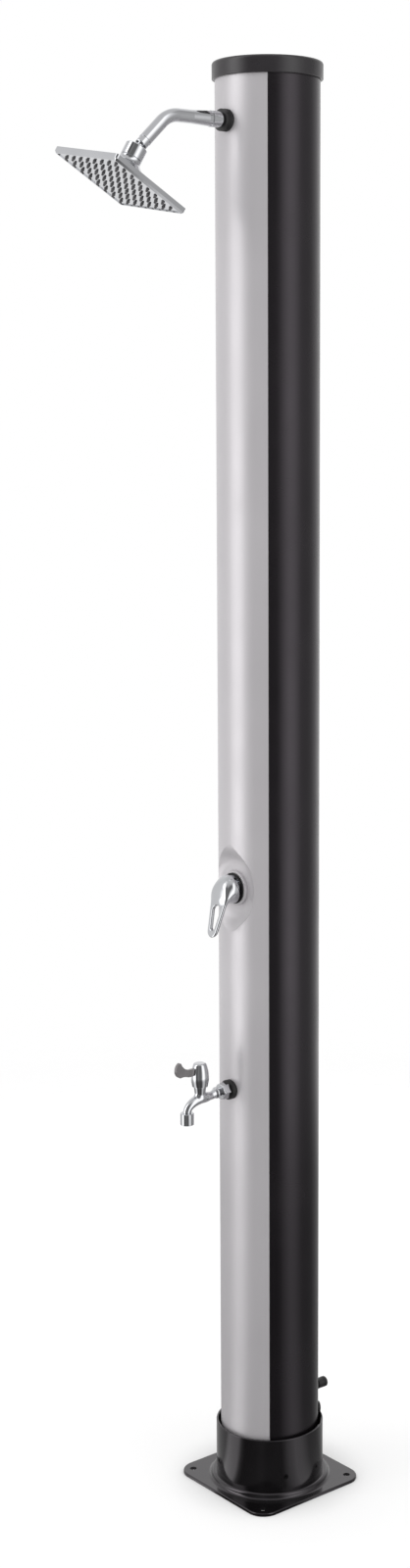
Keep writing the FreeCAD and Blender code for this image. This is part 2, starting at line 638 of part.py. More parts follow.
def outer_saddle(outer, inner, face, height):
    """A ring that lies on the round wall outside and is flat at its face."""
    ring = cut(ahead(outer, "tube_r - gasket_out", face, height), ahead(inner, "0", "tube_od", height))
    return cut(ring, upright("tube_r", height + " - tube_r", height + " + tube_r"))


def inner_saddle(outer, inner, face, height):
    """A ring that lies against the round wall inside and is flat at its face."""
    ring = cut(ahead(outer, face, "tube_r", height), ahead(inner, "0", "tube_od", height))
    return shared(ring, upright("bore_r", height + " - tube_r", height + " + tube_r"))


def gaskets():
    """Black rubber saddles between the round wall and what stands on it."""
    tail = "tail_r + tail_play"
    keep(outer_saddle("gasket_d / 2", tail, "face_reach", "arm_height"), "arm_gasket")
    keep(outer_saddle("tap_gasket_d / 2", tail, "tap_face_reach", "tap_height"), "tap_gasket")
    inlet = outer_saddle("gasket_d / 2", tail, "face_reach", "inlet_height")
    keep(spun(inlet, 180), "inlet_gasket")


def union_fasteners():
    """Saddle washer and back nut inside the wall, on the tails of the arm, the tap and the inlet."""
    inner = "tail_r + tail_play"
    washers, nuts = [], []
    for height, angle in (("arm_height", 0), ("tap_height", 0), ("inlet_height", 180)):
        washers.append(spun(inner_saddle("inner_washer_d / 2", inner, "washer_reach", height), angle))
        nut = cut(hexagon("backnut_flats", "backnut_reach", "washer_reach", height),
                  ahead(inner, "0", "tube_od", height))
        nuts.append(spun(nut, angle))
    for name, pieces in (("union_washers", washers), ("union_backnuts", nuts)):
        group = doc.addObject("Part::Compound", name)
        group.Links = pieces
        keep(group, name)


def ring_nut(name, height):
    """Round black nut with a groove in its rim."""
    radius, start = "ring_nut_d / 2", "face_reach"
    middle = "face_reach + ring_nut_thick / 2"
    turned(name, [
        ("tail_r + tail_play", start), (radius + " - edge_break", start), (radius, start + " + edge_break"),
        (radius, middle + " - ring_groove"), (radius + " - ring_groove", middle),
        (radius, middle + " + ring_groove"), (radius, "nut_reach - ring_nut_round", "ring_nut_round"),
        (radius + " - ring_nut_round", "nut_reach"), ("tail_r + tail_play", "nut_reach"),
    ], TOWARDS_FRONT, z=height)


# ---- shower arm and ball joint ---------------------------------------------------------------------

def shower_arm():
    """Chrome tube: threaded spigot, slight flare at the socket, one bend down."""
    body = new_body("shower_arm")
    run = "(arm_corner_reach - arm_start)"
    setback = "arm_bend_radius * tan(arm_drop_angle / 2)"
    straight = "(%s - %s)" % (run, setback)
    leg = "(arm_leg - stud_length)"
    path = outline(body, "YZ_Plane", [
        ("0", "0"), ("-" + straight, "0", "arm_bend_radius"),
        ("-(%s + %s * cos(arm_drop_angle))" % (run, setback), "-(%s * sin(arm_drop_angle))" % setback),
        ("-(%s + %s * cos(arm_drop_angle))" % (run, leg), "-(%s * sin(arm_drop_angle))" % leg),
    ], closed=False)
    section = circle(body, "XZ_Plane", "0", "0", "arm_d / 2")
    pipe = body.newObject("PartDesign::AdditivePipe", "pipe")
    pipe.Profile, pipe.Spine = section, path
    inside = circle(body, "XZ_Plane", "0", "0", "arm_d / 2 - arm_wall")
    bore = body.newObject("PartDesign::SubtractivePipe", "bore")
    bore.Profile, bore.Spine = inside, path
    flare = body.newObject("PartDesign::Revolution", "flare")
    flare.Profile = outline(body, "YZ_Plane", [
        ("spigot_length", "arm_d / 2 - arm_wall"), ("spigot_length", "spigot_d / 2"), ("0", "spigot_d / 2"),
        ("0", "arm_flare_d / 2"), ("-arm_flare_face", "arm_flare_d / 2"), ("-arm_flare_length", "arm_d / 2"),
        ("-arm_flare_length", "arm_d / 2 - arm_wall"),
    ])
    flare.ReferenceAxis = (flare.Profile[0], ["H_Axis"])
    flare.Angle = 360
    put(body, UPRIGHT, y="-arm_start", z="arm_height")
    return keep(body, "shower_arm")


def arm_end_turn():
    """Rotation that takes local Z from the ball back up into the arm."""
    return Rotation(Vector(1, 0, 0), -(90 - size("arm_drop_angle")))


def head_turn():
    """How the head hangs in its ball joint: turned, tilted forward-up and leaning sideways."""
    return (Rotation(Vector(0, 0, 1), size("head_turn")) * Rotation(Vector(1, 0, 0), -size("head_tilt"))
            * Rotation(Vector(0, 1, 0), size("head_lean")))


AT_BALL = {"y": "-ball_reach", "z": "ball_height"}


def arm_parts():
    """Union of the arm with the tank, the arm itself and the ball stud screwed in its end."""
    ring_nut("arm_ring_nut", "arm_height")
    turned("arm_socket", [
        ("socket_bore_d / 2", "union_tail_reach"), ("tail_r", "union_tail_reach"), ("tail_r", "nut_reach"),
        ("socket_d / 2 - edge_break", "nut_reach"), ("socket_d / 2", "nut_reach + edge_break"),
        ("socket_d / 2", "socket_end - edge_break"), ("socket_d / 2 - edge_break", "socket_end"),
        ("spigot_d / 2 + tail_play", "socket_end"),
        ("spigot_d / 2 + tail_play", "socket_end - spigot_length + arm_ring_thick"),
        ("socket_bore_d / 2", "socket_end - spigot_length + arm_ring_thick"),
    ], TOWARDS_FRONT, z="arm_height")
    turned("arm_ring", ring_points("spigot_d / 2 + tail_play", "arm_ring_d / 2", "socket_end", "arm_start"),
           TOWARDS_FRONT, z="arm_height")
    shower_arm()
    neck, collar = "stud_neck_d / 2", "stud_collar_d / 2"
    meet = "sqrt(ball_r ^ 2 - (stud_neck_d / 2) ^ 2)"
    low = "0 - sqrt(ball_r ^ 2 - (stud_bore_d / 2) ^ 2)"
    stop = "stud_length"
    turned("ball_stud", [
        ("stud_bore_d / 2", low, "ball_r"), (neck, meet), (neck, "stud_collar_reach"),
        (collar + " - edge_break", "stud_collar_reach"), (collar, "stud_collar_reach + edge_break"),
        (collar, stop),
        ("arm_d / 2 - arm_wall - tail_play", stop),
        ("arm_d / 2 - arm_wall - tail_play", stop + " + stud_spigot"),
        ("stud_bore_d / 2", stop + " + stud_spigot"),
    ], arm_end_turn(), **AT_BALL)


def shell_band(label, inner, low, high):
    """A thin ring between two spheres about the ball's centre, from low to high angle."""
    outer = "(%s + seat_thick)" % inner
    inner = "(%s)" % inner
    turned(label, [
        ("%s * cos(%s)" % (inner, low), "%s * sin(%s)" % (inner, low)),
        ("%s * cos(%s)" % (outer, low), "%s * sin(%s)" % (outer, low), outer),
        ("%s * cos(%s)" % (outer, high), "%s * sin(%s)" % (outer, high)),
        ("%s * cos(%s)" % (inner, high), "%s * sin(%s)" % (inner, high), "-" + inner),
    ], head_turn(), **AT_BALL)


def head_parts():
    """Ball seats, swivel nut, head shell with its bell, face plate and the nozzle mat."""
    shell_band("ball_seat", "seat_in", "seat_low_angle", "seat_high_angle")
    shell_band("ball_seal", "seal_in", "seal_low_angle", "seal_high_angle")
    throat = "sqrt(cavity_r ^ 2 - (nut_throat_d / 2) ^ 2)"
    radius, foot = "nut_d / 2", "-nut_below_ball"
    thread = "nut_thread_d / 2"
    turned("swivel_nut", [
        ("nut_throat_d / 2", throat), ("nut_mouth_d / 2", "nut_above_ball"),
        (radius + " - nut_shoulder", "nut_above_ball"), (radius, "nut_above_ball - nut_shoulder"),
        (radius, foot + " + edge_break"), (radius + " - edge_break", foot), (thread + " + tail_play", foot),
        (thread + " + tail_play", "0"), ("cavity_r", "0", "cavity_r"),
    ], head_turn(), **AT_BALL)
    head_shell()
    face_plate()
    nozzle_mat()


def rounded_square(body, half, corner):
    """A square sketch about the body's axis with rounded corners."""
    straight = "(%s - %s)" % (half, corner)
    return outline(body, "XY_Plane", [
        ("-" + straight, "-" + half), (straight, "-" + half, corner),
        (half, "-" + straight), (half, straight, corner),
        (straight, half), ("-" + straight, half, corner),
        ("-" + half, straight), ("-" + half, "-" + straight, corner),
    ])


def lifted(sketch, height):
    """Lift a sketch off its plane."""
    sketch.setExpression("AttachmentOffset.Base.z", bound(height))
    return sketch


def head_shell():
    """Square shell: bell neck that screws into the swivel nut, hollow water space, chamfered rim."""
    body = new_body("head_shell")
    pad(body, lifted(rounded_square(body, "(head_side / 2)", "head_corner"), "-head_drop"), "head_rim")
    thread, wall = "nut_thread_d / 2", "nut_d / 2"
    collar_foot = "-(nut_below_ball + nut_gap)"
    turn(body, [
        ("sqrt(cavity_r ^ 2 - joint_play ^ 2)", "-joint_play"), (thread, "-joint_play"),
        (thread, collar_foot), (wall, collar_foot), (wall, "-bell_top", "bell_throat_round"),
        ("cone_top_x", "-cone_top_y"), ("cone_foot_x", "-cone_foot_y", "bell_foot_round"),
        ("bell_foot_x", "-head_back"), ("bell_foot_x", "-ceiling"), ("neck_bore_d / 2", "-ceiling"),
        ("neck_bore_d / 2", "0 - sqrt(cavity_r ^ 2 - (neck_bore_d / 2) ^ 2)", "cavity_r"),
    ])
    chamfer_rim(body)
    inside = "(head_side / 2 - face_inset)"
    low = "-(head_drop + overrun)"
    pocket(body, lifted(rounded_square(body, inside, "(head_corner / 2)"), low),
           "head_rim - head_wall + overrun", back=True)
    pocket(body, lifted(circle(body, "XY_Plane", "0", "0", "neck_bore_d / 2"), low),
           "head_rim + overrun * 2", back=True)
    groove(body, [
        ("0", "-(ceiling + overrun)"), ("bell_foot_x - bell_foot_wall", "-(ceiling + overrun)"),
        ("bell_foot_x - bell_foot_wall", "-ceiling"), ("neck_bore_d / 2", "-(cone_top_y + bell_crown)"),
        ("0", "-(cone_top_y + bell_crown)"),
    ])
    put(body, head_turn(), **AT_BALL)
    return keep(body, "head_shell")


def chamfer_rim(body):
    """Chamfer the lower edge of the square rim."""
    doc.recompute()
    low = -size("head_drop")
    edges = [
        "Edge%d" % (n + 1) for n, edge in enumerate(body.Shape.Edges)
        if abs(edge.BoundBox.ZMin - low) < 1e-3 and abs(edge.BoundBox.ZMax - low) < 1e-3
    ]
    before = body.Tip
    rim = body.newObject("PartDesign::Chamfer", "rim")
    rim.Base = (before, edges)
    tie(rim, Size="head_chamfer")
    body.Tip = rim


def face_plate():
    """Polished plate with a square grid of holes for the nozzles."""
    body = new_body("face_plate")
    half = "(head_side / 2 - face_inset - face_play)"
    face = "-(head_drop - face_recess)"
    pad(body, lifted(rounded_square(body, half, "(head_corner / 2)"), face), "face_thick")
    first = circle(body, "XY_Plane", "nozzle_first", "nozzle_first", "nozzle_d / 2 + nozzle_play")
    grid(body, pocket(body, lifted(first, face), "face_thick", back=True))
    put(body, head_turn(), **AT_BALL)
    return keep(body, "face_plate")


def nozzle_mat():
    """Silicone mat on the face plate, with one tapered nozzle through each of its holes."""
    body = new_body("nozzle_mat")
    half = "(nozzle_first + mat_margin)"
    pad(body, lifted(rounded_square(body, half, "(head_corner / 2)"), "-mat_foot"), "mat_thick")
    nozzle = body.newObject("PartDesign::AdditiveCone", "nozzle")
    nozzle.AttachmentSupport = (origin_plane(body, "XY_Plane"), [""])
    nozzle.MapMode = "FlatFace"
    tie(nozzle, Radius1="nozzle_tip_d / 2", Radius2="nozzle_d / 2",
        Height="nozzle_tip - mat_foot + mat_thick / 2")
    for axis, formula in (("x", "nozzle_first"), ("y", "nozzle_first"), ("z", "-nozzle_tip")):
        nozzle.setExpression("AttachmentOffset.Base." + axis, bound(formula))
    grid(body, nozzle)
    put(body, head_turn(), **AT_BALL)
    return keep(body, "nozzle_mat")


def grid(body, feature):
    """Repeat a feature over the nozzles' square grid."""
    rows = body.newObject("PartDesign::MultiTransform", "grid")
    rows.Originals = [feature]
    steps = []
    for role in ("X_Axis", "Y_Axis"):
        step = body.newObject("PartDesign::LinearPattern", "row")
        step.Direction = (origin_plane(body, role), [""])
        step.Reversed = True
        step.Occurrences = int(size("nozzle_count"))
        tie(step, Length="nozzle_first * 2")
        steps.append(step)
    rows.Transformations = steps
    body.Tip = rows


# ---- mixer -----------------------------------------------------------------------------------------

def from_pivot(distance):
    """The reach at a distance in front of the lever's pivot."""
    return "lever_pivot_reach + (%s)" % distance


def mixer_body():
    """Brass body behind the wall, with a neck through it, the cartridge's bore and three ways."""
    way, axis, high = "way_d / 2", "mixer_height", "mixer_height + way_spacing"
    seat, top = axis + " + mixer_pipe_seat", axis + " + mixer_port_top"
    back = "mixer_back_reach - pipe_socket"
    solid = joined(
        ahead("mixer_r", "mixer_back_reach", "mixer_seat_reach", axis),
        ahead("mixer_flange_d / 2", "mixer_seat_reach - mixer_flange_thick", "mixer_seat_reach", axis),
        ahead("neck_r", "mixer_seat_reach", "neck_reach", axis),
        upright("mixer_port_d / 2", axis, top, "riser_reach"),
        upright("mixer_port_d / 2", axis, top, "hot_reach"),
        ahead("mixer_port_d / 2", back, "mixer_back_reach", "cold_height"))
    hollows = joined(
        ahead("cartridge_bore_r", "cartridge_back_reach", "tube_od", axis),
        ahead("nut_ring_d / 2 + tail_play", "flat_reach", "tube_od", axis),
        upright("pipe_hole_r", seat, top + " + overrun", "riser_reach"),
        upright("pipe_hole_r", seat, top + " + overrun", "hot_reach"),
        ahead("pipe_hole_r", back + " - overrun", "mixer_back_reach", "cold_height"))
    ways = joined(
        upright(way, high, seat, "riser_reach"),
        ahead(way, "riser_reach", "cartridge_back_reach", high),
        upright(way, axis, seat, "hot_reach"),
        ahead(way, "hot_reach", "cartridge_back_reach", axis),
        ahead(way, "mixer_back_reach", "cartridge_back_reach", "cold_height"))
    return keep(cut(cut(solid, hollows), ways), "mixer_body")


def mixer_trim():
    """Gasket inside the wall; clamp ring and rubber ring on the neck in front of it."""
    place = {"rotation": TOWARDS_FRONT, "z": "mixer_height"}
    turned("mixer_gasket", ring_points("neck_r + wall_hole_play", "mixer_flange_d / 2",
                                       "mixer_seat_reach", "flat_back"), **place)
    outer, bore, edge = "clamp_ring_d / 2", "neck_r + tail_play", "clamp_ring_round"
    turned("mixer_clamp_ring", [
        (bore, "flat_reach"), (outer, "flat_reach"), (outer, "clamp_reach - " + edge, edge),
        (outer + " - " + edge, "clamp_reach"), (bore, "clamp_reach"),
    ], **place)
    turned("mixer_rubber_ring", ring_points(bore, "rubber_ring_d / 2", "clamp_reach", "rubber_reach"),
           **place)


def cartridge():
    """Ceramic cartridge: housing and its nut, drilled base and disc, sliding disc, lever carrier."""
    place = {"rotation": TOWARDS_FRONT, "z": "mixer_height"}
    turned("cartridge_housing", [
        ("cartridge_in_r", "cartridge_back_reach"), ("cartridge_d / 2", "cartridge_back_reach"),
        ("cartridge_d / 2", "flat_reach"), ("cartridge_in_r - cartridge_lip", "flat_reach"),
        ("cartridge_in_r - cartridge_lip", "lip_reach"), ("cartridge_in_r", "lip_reach"),
    ], **place)
    turned("cartridge_nut", ring_points("nut_ring_bore_d / 2", "nut_ring_d / 2", "flat_reach",
                                        "flat_reach + nut_ring_thick"), **place)
    for label, start in (("cartridge_base", "cartridge_back_reach"), ("fixed_disc", "base_disc_reach")):
        disc = ahead("cartridge_in_r - tail_play", start, start + " + disc_thick", "mixer_height")
        ways = joined(*[
            ahead("way_d / 2", start + " - overrun", start + " + disc_thick + overrun", height)
            for height in ("cold_height", "mixer_height", "mixer_height + way_spacing")
        ])
        keep(cut(disc, ways), label)
    hole, ball = "(spindle_ball_d / 2 + spindle_ball_play)", "(lever_pivot_reach - spindle_arm)"
    turned("sliding_disc", [
        ("0", "slide_reach + disc_thick / 4"), ("sliding_disc_d / 3", "slide_reach + disc_thick / 4"),
        ("sliding_disc_d / 3", "slide_reach"), ("sliding_disc_d / 2", "slide_reach"),
        ("sliding_disc_d / 2", "slide_top_reach"), (hole, "slide_top_reach"),
        (hole, ball + " - " + hole), ("0", ball + " - " + hole),
    ], **place)
    carrier()
    spindle()


def carrier():
    """Turning carrier: flange held behind the housing's lip, ball in front, slot for the spindle."""
    body = new_body("cartridge_carrier")
    flange, ball = "cartridge_in_r - joint_play", "carrier_ball_d / 2"
    pivot, front = "lever_pivot_reach", from_pivot("carrier_front")
    turn(body, [
        ("0", "carrier_flange_reach"), (flange, "carrier_flange_reach"), (flange, "lip_reach - joint_play"),
        ("carrier_neck_r", "lip_reach - joint_play"), ("carrier_neck_r", pivot),
        (ball, pivot, ball), ("sqrt((%s) ^ 2 - carrier_front ^ 2)" % ball, front), ("0", front),
    ])
    swing = "(lever_lift + slot_spare_angle)"
    half = "((spindle_r + spindle_play) / cos(%s))" % swing
    out, back = "(carrier_front + overrun)", "(lever_pivot_reach - carrier_flange_reach + overrun)"
    pocket(body, outline(body, "YZ_Plane", [
        ("-" + half, from_pivot(out)), ("%s + %s * tan(%s)" % (half, out, swing), from_pivot(out)),
        (half, pivot), (half, from_pivot("-" + back)),
        ("-(%s + %s * tan(%s))" % (half, back, swing), from_pivot("-" + back)), ("-" + half, pivot),
    ]), "(spindle_r + spindle_play) * 2", both=True)
    pocket(body, circle(body, "YZ_Plane", "0", pivot, "spindle_pin_d / 2 + tail_play"),
           "carrier_ball_d * 2", both=True)
    put(body, TOWARDS_FRONT, z="mixer_height")
    return keep(body, "cartridge_carrier")


def spindle():
    """Square spindle on its cross pin, with a ball that drives the sliding disc."""
    body = new_body("mixer_spindle")
    side, back = "spindle_r", from_pivot("-spindle_back")
    pad(body, lifted(outline(body, "XY_Plane", [
        ("-" + side, "-" + side), (side, "-" + side), (side, side), ("-" + side, side),
    ]), back), "spindle_back + spindle_front")
    ball, neck, centre = "spindle_ball_d / 2", "spindle_neck_d / 2", from_pivot("-spindle_arm")
    turn(body, [
        ("0", centre + " - spindle_ball_d / 2", ball),
        (neck, "%s + sqrt((%s) ^ 2 - (%s) ^ 2)" % (centre, ball, neck)),
        (neck, back + " + overrun"), ("0", back + " + overrun"),
    ])
    pocket(body, circle(body, "YZ_Plane", "0", "lever_pivot_reach", "spindle_pin_d / 2 + spindle_play"),
           "spindle_side * 2", both=True)
    put(body, TOWARDS_FRONT, z="mixer_height")
    keep(body, "mixer_spindle")
    half = "spindle_pin_length / 2"
    keep(across("spindle_pin_d / 2", "-" + half, half, "lever_pivot_reach", "mixer_height"), "spindle_pin")


def lever_hub():
    """Domed hub of the mixer lever: slanted skirt, ball cavity, square and grub screw holes."""
    body = new_body("lever_hub")
    foot, rise = "(hub_skirt_reach - hub_skirt_spare)", "(hub_front_reach - hub_shoulder_reach)"
    dome = "((hub_d / 2) ^ 2 + %s ^ 2) / (2 * %s)" % (rise, rise)
    turn(body, [
        ("0", foot), ("hub_rim_d / 2", foot), ("hub_rim_d / 2", "hub_skirt_reach"),
        ("hub_d / 2", "hub_shoulder_reach", dome), ("0", "hub_front_reach"),
    ])
    cavity = "hub_cavity_d / 2"
    groove(body, [("0", from_pivot("-" + cavity), cavity), (cavity, "lever_pivot_reach", cavity),
                  ("0", from_pivot(cavity))])
    slant = "hub_d * tan(hub_skirt_slant)"
    pocket(body, outline(body, "YZ_Plane", [
        ("-hub_d", foot + " - overrun"), ("hub_d", foot + " - overrun"),
        ("hub_d", "hub_skirt_reach + " + slant),
        ("-hub_d", "hub_skirt_reach - " + slant),
    ]), "hub_d * 2", both=True)
    side = "(spindle_r + spindle_play)"
    pocket(body, lifted(outline(body, "XY_Plane", [
        ("-" + side, "-" + side), (side, "-" + side), (side, side), ("-" + side, side),
    ]), "lever_pivot_reach"), "spindle_front + spindle_play", back=True)
    pocket(body, circle(body, "XZ_Plane", "0", "grub_reach", "grub_d / 2 + tail_play"), "hub_d", back=True)
    return body


def mixer_lever():
    """Chrome loop lever: domed hub and a tapered blade with a finger loop, sloping away."""
    blade = new_body("lever_blade")
    root, tip, low = "lever_root_w / 2", "lever_tip_w / 2", "-(lever_drop - lever_tip_w / 2)"
    pad(blade, outline(blade, "XY_Plane", [
        ("-" + root, "-lever_root_top"), ("-" + root, "-lever_root_drop"), ("-" + tip, low, tip),
        ("0", "-lever_drop", tip), (tip, low), (root, "-lever_root_drop"), (root, "-lever_root_top"),
    ]), "tube_od")
    slab = new_body("lever_slab")
    fall, depth = "tan(lever_slope)", "lever_thick / cos(lever_slope)"
    above, below = "lever_root_drop", "(lever_drop + lever_thick)"
    pad(slab, outline(slab, "YZ_Plane", [
        (above, "lever_face_reach - %s * %s" % (above, fall)),
        ("-" + below, "lever_face_reach + %s * %s" % (below, fall)),
        ("-" + below, "lever_face_reach + %s * %s - %s" % (below, fall, depth)),
        (above, "lever_face_reach - %s * %s - %s" % (above, fall, depth)),
    ]), "lever_root_w * 2", both=True)
    loop = new_body("lever_loop")
    top, edge, wide, end = "loop_top_w / 2", "loop_top_round", "(loop_top_w / 2 - loop_top_round)", \
        "loop_bottom_w / 2"
    shoulder, heel = "-(loop_top + loop_top_round)", "-(loop_bottom - loop_bottom_w / 2)"
    pad(loop, outline(loop, "XY_Plane", [
        ("-" + wide, "-loop_top", edge), ("-" + top, shoulder), ("-" + end, heel, end),
        ("0", "-loop_bottom", end), (end, heel), (top, shoulder, edge), (wide, "-loop_top"),
    ]), "tube_od")
    lever = cut(joined(lever_hub(), shared(blade, slab)), loop)
    lever.Placement = Placement(Vector(), TOWARDS_FRONT)
    lever.setExpression("Placement.Base.z", bound("mixer_height"))
    keep(lever, "mixer_lever")
    reach, side = "grub_reach", "spindle_r + spindle_play"
    keep(upright("grub_d / 2", "mixer_height - (%s + grub_length)" % side, "mixer_height - (%s)" % side,
                 reach), "lever_grub_screw")


# ---- pipes in the tank ----------------------------------------------------------------------------

def straight_pipe(label, low, high, reach):
    """A standing water pipe."""
    bore = "pipe_r - pipe_wall"
    return keep(cut(upright("pipe_r", low, high, reach),
                    upright(bore, low + " - overrun", high + " + overrun", reach)), label)


def elbow(label, height, angle, leg_up, more_holes=()):
    """An elbow on a wall tail, with a leg up or down for a pipe."""
    axis, sign = "riser_reach", "+" if leg_up else "-"
    end, seat = "%s %s elbow_leg" % (height, sign), "%s %s elbow_seat" % (height, sign)

    def leg(radius, near, far):
        return upright(radius, near, far, axis) if leg_up else upright(radius, far, near, axis)

    solid = joined(ahead("elbow_d / 2", axis + " - elbow_d / 2", "elbow_end_reach", height),
                   leg("elbow_leg_d / 2", height, end))
    hollows = joined(ahead("elbow_bore_d / 2", axis, "union_tail_reach", height),
                     ahead("tail_r + tail_play", "union_tail_reach", "elbow_end_reach + overrun", height),
                     leg("pipe_r - pipe_wall", height, seat), leg("pipe_hole_r", seat, end), *more_holes)
    return keep(spun(cut(solid, hollows), angle), label)


def pipes():
    """Water ways inside the tank: cold to the tap and the mixer, hot from the top, mixed to the arm."""
    mixer_seat = "mixer_height + mixer_pipe_seat"
    straight_pipe("shower_riser", mixer_seat, "arm_height - elbow_seat", "riser_reach")
    straight_pipe("hot_pickup", mixer_seat, "hot_pipe_top", "hot_reach")
    straight_pipe("cold_riser", "inlet_height + elbow_seat", "tap_height - tee_seat", "-riser_reach")
    elbow("riser_elbow", "arm_height", 0, False)
    fill = ahead("fill_hole_d / 2", "riser_reach - elbow_d", "riser_reach", "inlet_height")
    elbow("inlet_elbow", "inlet_height", 180, True, [fill])
    tap_tee()
    cold_upper()
    union_seat = "union_back_reach + pipe_socket"
    feed_seat = "-(tee_face + pipe_socket)"
    keep(cut(ahead("pipe_r", feed_seat, union_seat, "tap_height"),
             ahead("pipe_r - pipe_wall", feed_seat + " - overrun", union_seat + " + overrun", "tap_height")),
         "tap_feed")
    hollows = joined(ahead("pipe_hole_r", "union_back_reach - overrun", union_seat, "tap_height"),
                     ahead("pipe_r - pipe_wall", union_seat, "union_tail_reach", "tap_height"),
                     ahead("tail_r + tail_play", "union_tail_reach", "elbow_end_reach + overrun",
                           "tap_height"))
    keep(cut(ahead("elbow_d / 2", "union_back_reach", "elbow_end_reach", "tap_height"), hollows), "tap_union")


def tap_tee():
    """Tee in the cold riser that feeds the tap."""
    low, high, reach = "tap_height - tee_half", "tap_height + tee_half", "-riser_reach"
    seat_low, seat_high = "tap_height - tee_seat", "tap_height + tee_seat"
    branch_seat = "-(tee_face + pipe_socket)"
    solid = joined(upright("tee_run_d / 2", low, high, reach),
                   ahead("elbow_leg_d / 2", reach, "-tee_face", "tap_height"))
    hollows = joined(upright("pipe_hole_r", low + " - overrun", seat_low, reach),
                     upright("pipe_hole_r", seat_high, high + " + overrun", reach),
                     upright("pipe_r - pipe_wall", seat_low, seat_high, reach),
                     ahead("pipe_hole_r", branch_seat, "overrun - tee_face", "tap_height"),
                     ahead("tee_branch_bore_d / 2", reach, branch_seat, "tap_height"))
    return keep(cut(solid, hollows), "tap_tee")


def cold_upper():
    """Bent pipe from the tee up and forward into the mixer's back."""
    body = new_body("cold_upper")
    start = "tap_height + tee_seat"
    path = outline(body, "YZ_Plane", [
        ("riser_reach", start), ("riser_reach", "cold_height - pipe_bend", "pipe_bend"),
        ("riser_reach - pipe_bend", "cold_height"), ("-mixer_back_reach", "cold_height"),
    ], closed=False)
    for kind, radius in (("PartDesign::AdditivePipe", "pipe_r"),
                         ("PartDesign::SubtractivePipe", "pipe_r - pipe_wall")):
        pipe = body.newObject(kind, "pipe")
        pipe.Profile = lifted(circle(body, "XY_Plane", "0", "riser_reach", radius), start)
        pipe.Spine = path
    return keep(body, "cold_upper")


# ---- foot tap ----------------------------------------------------------------------------------------

def loft(sections):
    """A smooth round body through sections of (reach, height, fall of its axis, radius)."""
    rings = []
    for reach, height, fall, radius in sections:
        ring = doc.addObject("Part::Circle", "section")
        tie(ring, Radius=radius)
        rings.append(put(ring, Rotation(Vector(1, 0, 0), 90 + fall), y="-(%s)" % reach, z=height))
    skin = doc.addObject("Part::Loft", "loft")
    skin.Sections = rings
    skin.Solid = True
    return skin


def tap_body():
    """Chrome tap body: tail, hexagon, bead, sagging barrel, upright stem and curved spout."""
    axis = "tap_height"
    bead = new_body("tap_bead")
    swell = "(tap_bead_d - tap_neck_d) / 2"
    turn(bead, [
        ("0", "-tap_bead_w / 2"), ("tap_neck_d / 2", "-tap_bead_w / 2",
                                   "((tap_bead_w / 2) ^ 2 + (%s) ^ 2) / (2 * (%s))" % (swell, swell)),
        ("tap_neck_d / 2", "tap_bead_w / 2"), ("0", "tap_bead_w / 2"),
    ])
    put(bead, TOWARDS_FRONT, y="-tap_bead_reach", z=axis)
    stem = new_body("tap_stem")
    turn(stem, [
        ("0", "-tap_sag"), ("tap_stem_foot_d / 2", "-tap_sag"), ("tap_stem_foot_d / 2", "0"),
        ("tap_stem_d / 2", "tap_stem_top - tap_stem_lip"), ("tap_stem_d / 2", "tap_stem_top"),
        ("0", "tap_stem_top"),
    ])
    put(stem, UPRIGHT, y="-tap_stem_reach", z=axis)
    sag, end = "tap_height - tap_sag", "tap_height - spout_end"
    bend = [
        ("spout_reach - spout_run * (1 - sin(%d))" % fall, "%s + spout_drop * cos(%d)" % (end, fall), fall,
         "(spout_d + (barrel_d - spout_d) * cos(%d) ^ 2) / 2" % fall) for fall in (18, 42, 66, 90)
    ]
    barrel_and_spout = loft([
        ("tap_bead_reach", axis, 0, "tap_neck_d / 2 - tap_throat_step"),
        ("tap_bead_reach + barrel_start", sag, 0, "spout_d / 2"),
        ("tap_stem_reach - barrel_end", sag, 0, "barrel_d / 2"),
    ] + bend)
    solid = joined(
        ahead("tail_r", "union_tail_reach", "tap_face_reach", axis),
        hexagon("tap_hex_flats", "tap_face_reach", "hex_reach", axis),
        ahead("tap_neck_d / 2", "hex_reach", "tap_bead_reach", axis), bead, stem, barrel_and_spout,
        upright("spout_thread_d / 2", end + " - spout_thread", end + " + overrun", "spout_reach"))
    chamber_floor = "tap_height + tap_chamber_floor"
    hollows = joined(
        ahead("tap_tail_bore_d / 2", "union_tail_reach - overrun", "hex_reach - tap_web", axis),
        ahead("tap_feed_d / 2", "hex_reach - tap_web - overrun", "tap_stem_reach", sag),
        upright("tap_feed_d / 2", sag, chamber_floor, "tap_stem_reach"),
        upright("tap_chamber_d / 2", chamber_floor, "tap_height + tap_stem_top + overrun", "tap_stem_reach"),
        upright("spout_bore_d / 2", end + " - spout_thread - overrun", "tap_height - spout_end / 2",
                "spout_reach"))
    return keep(cut(solid, hollows), "tap_body")


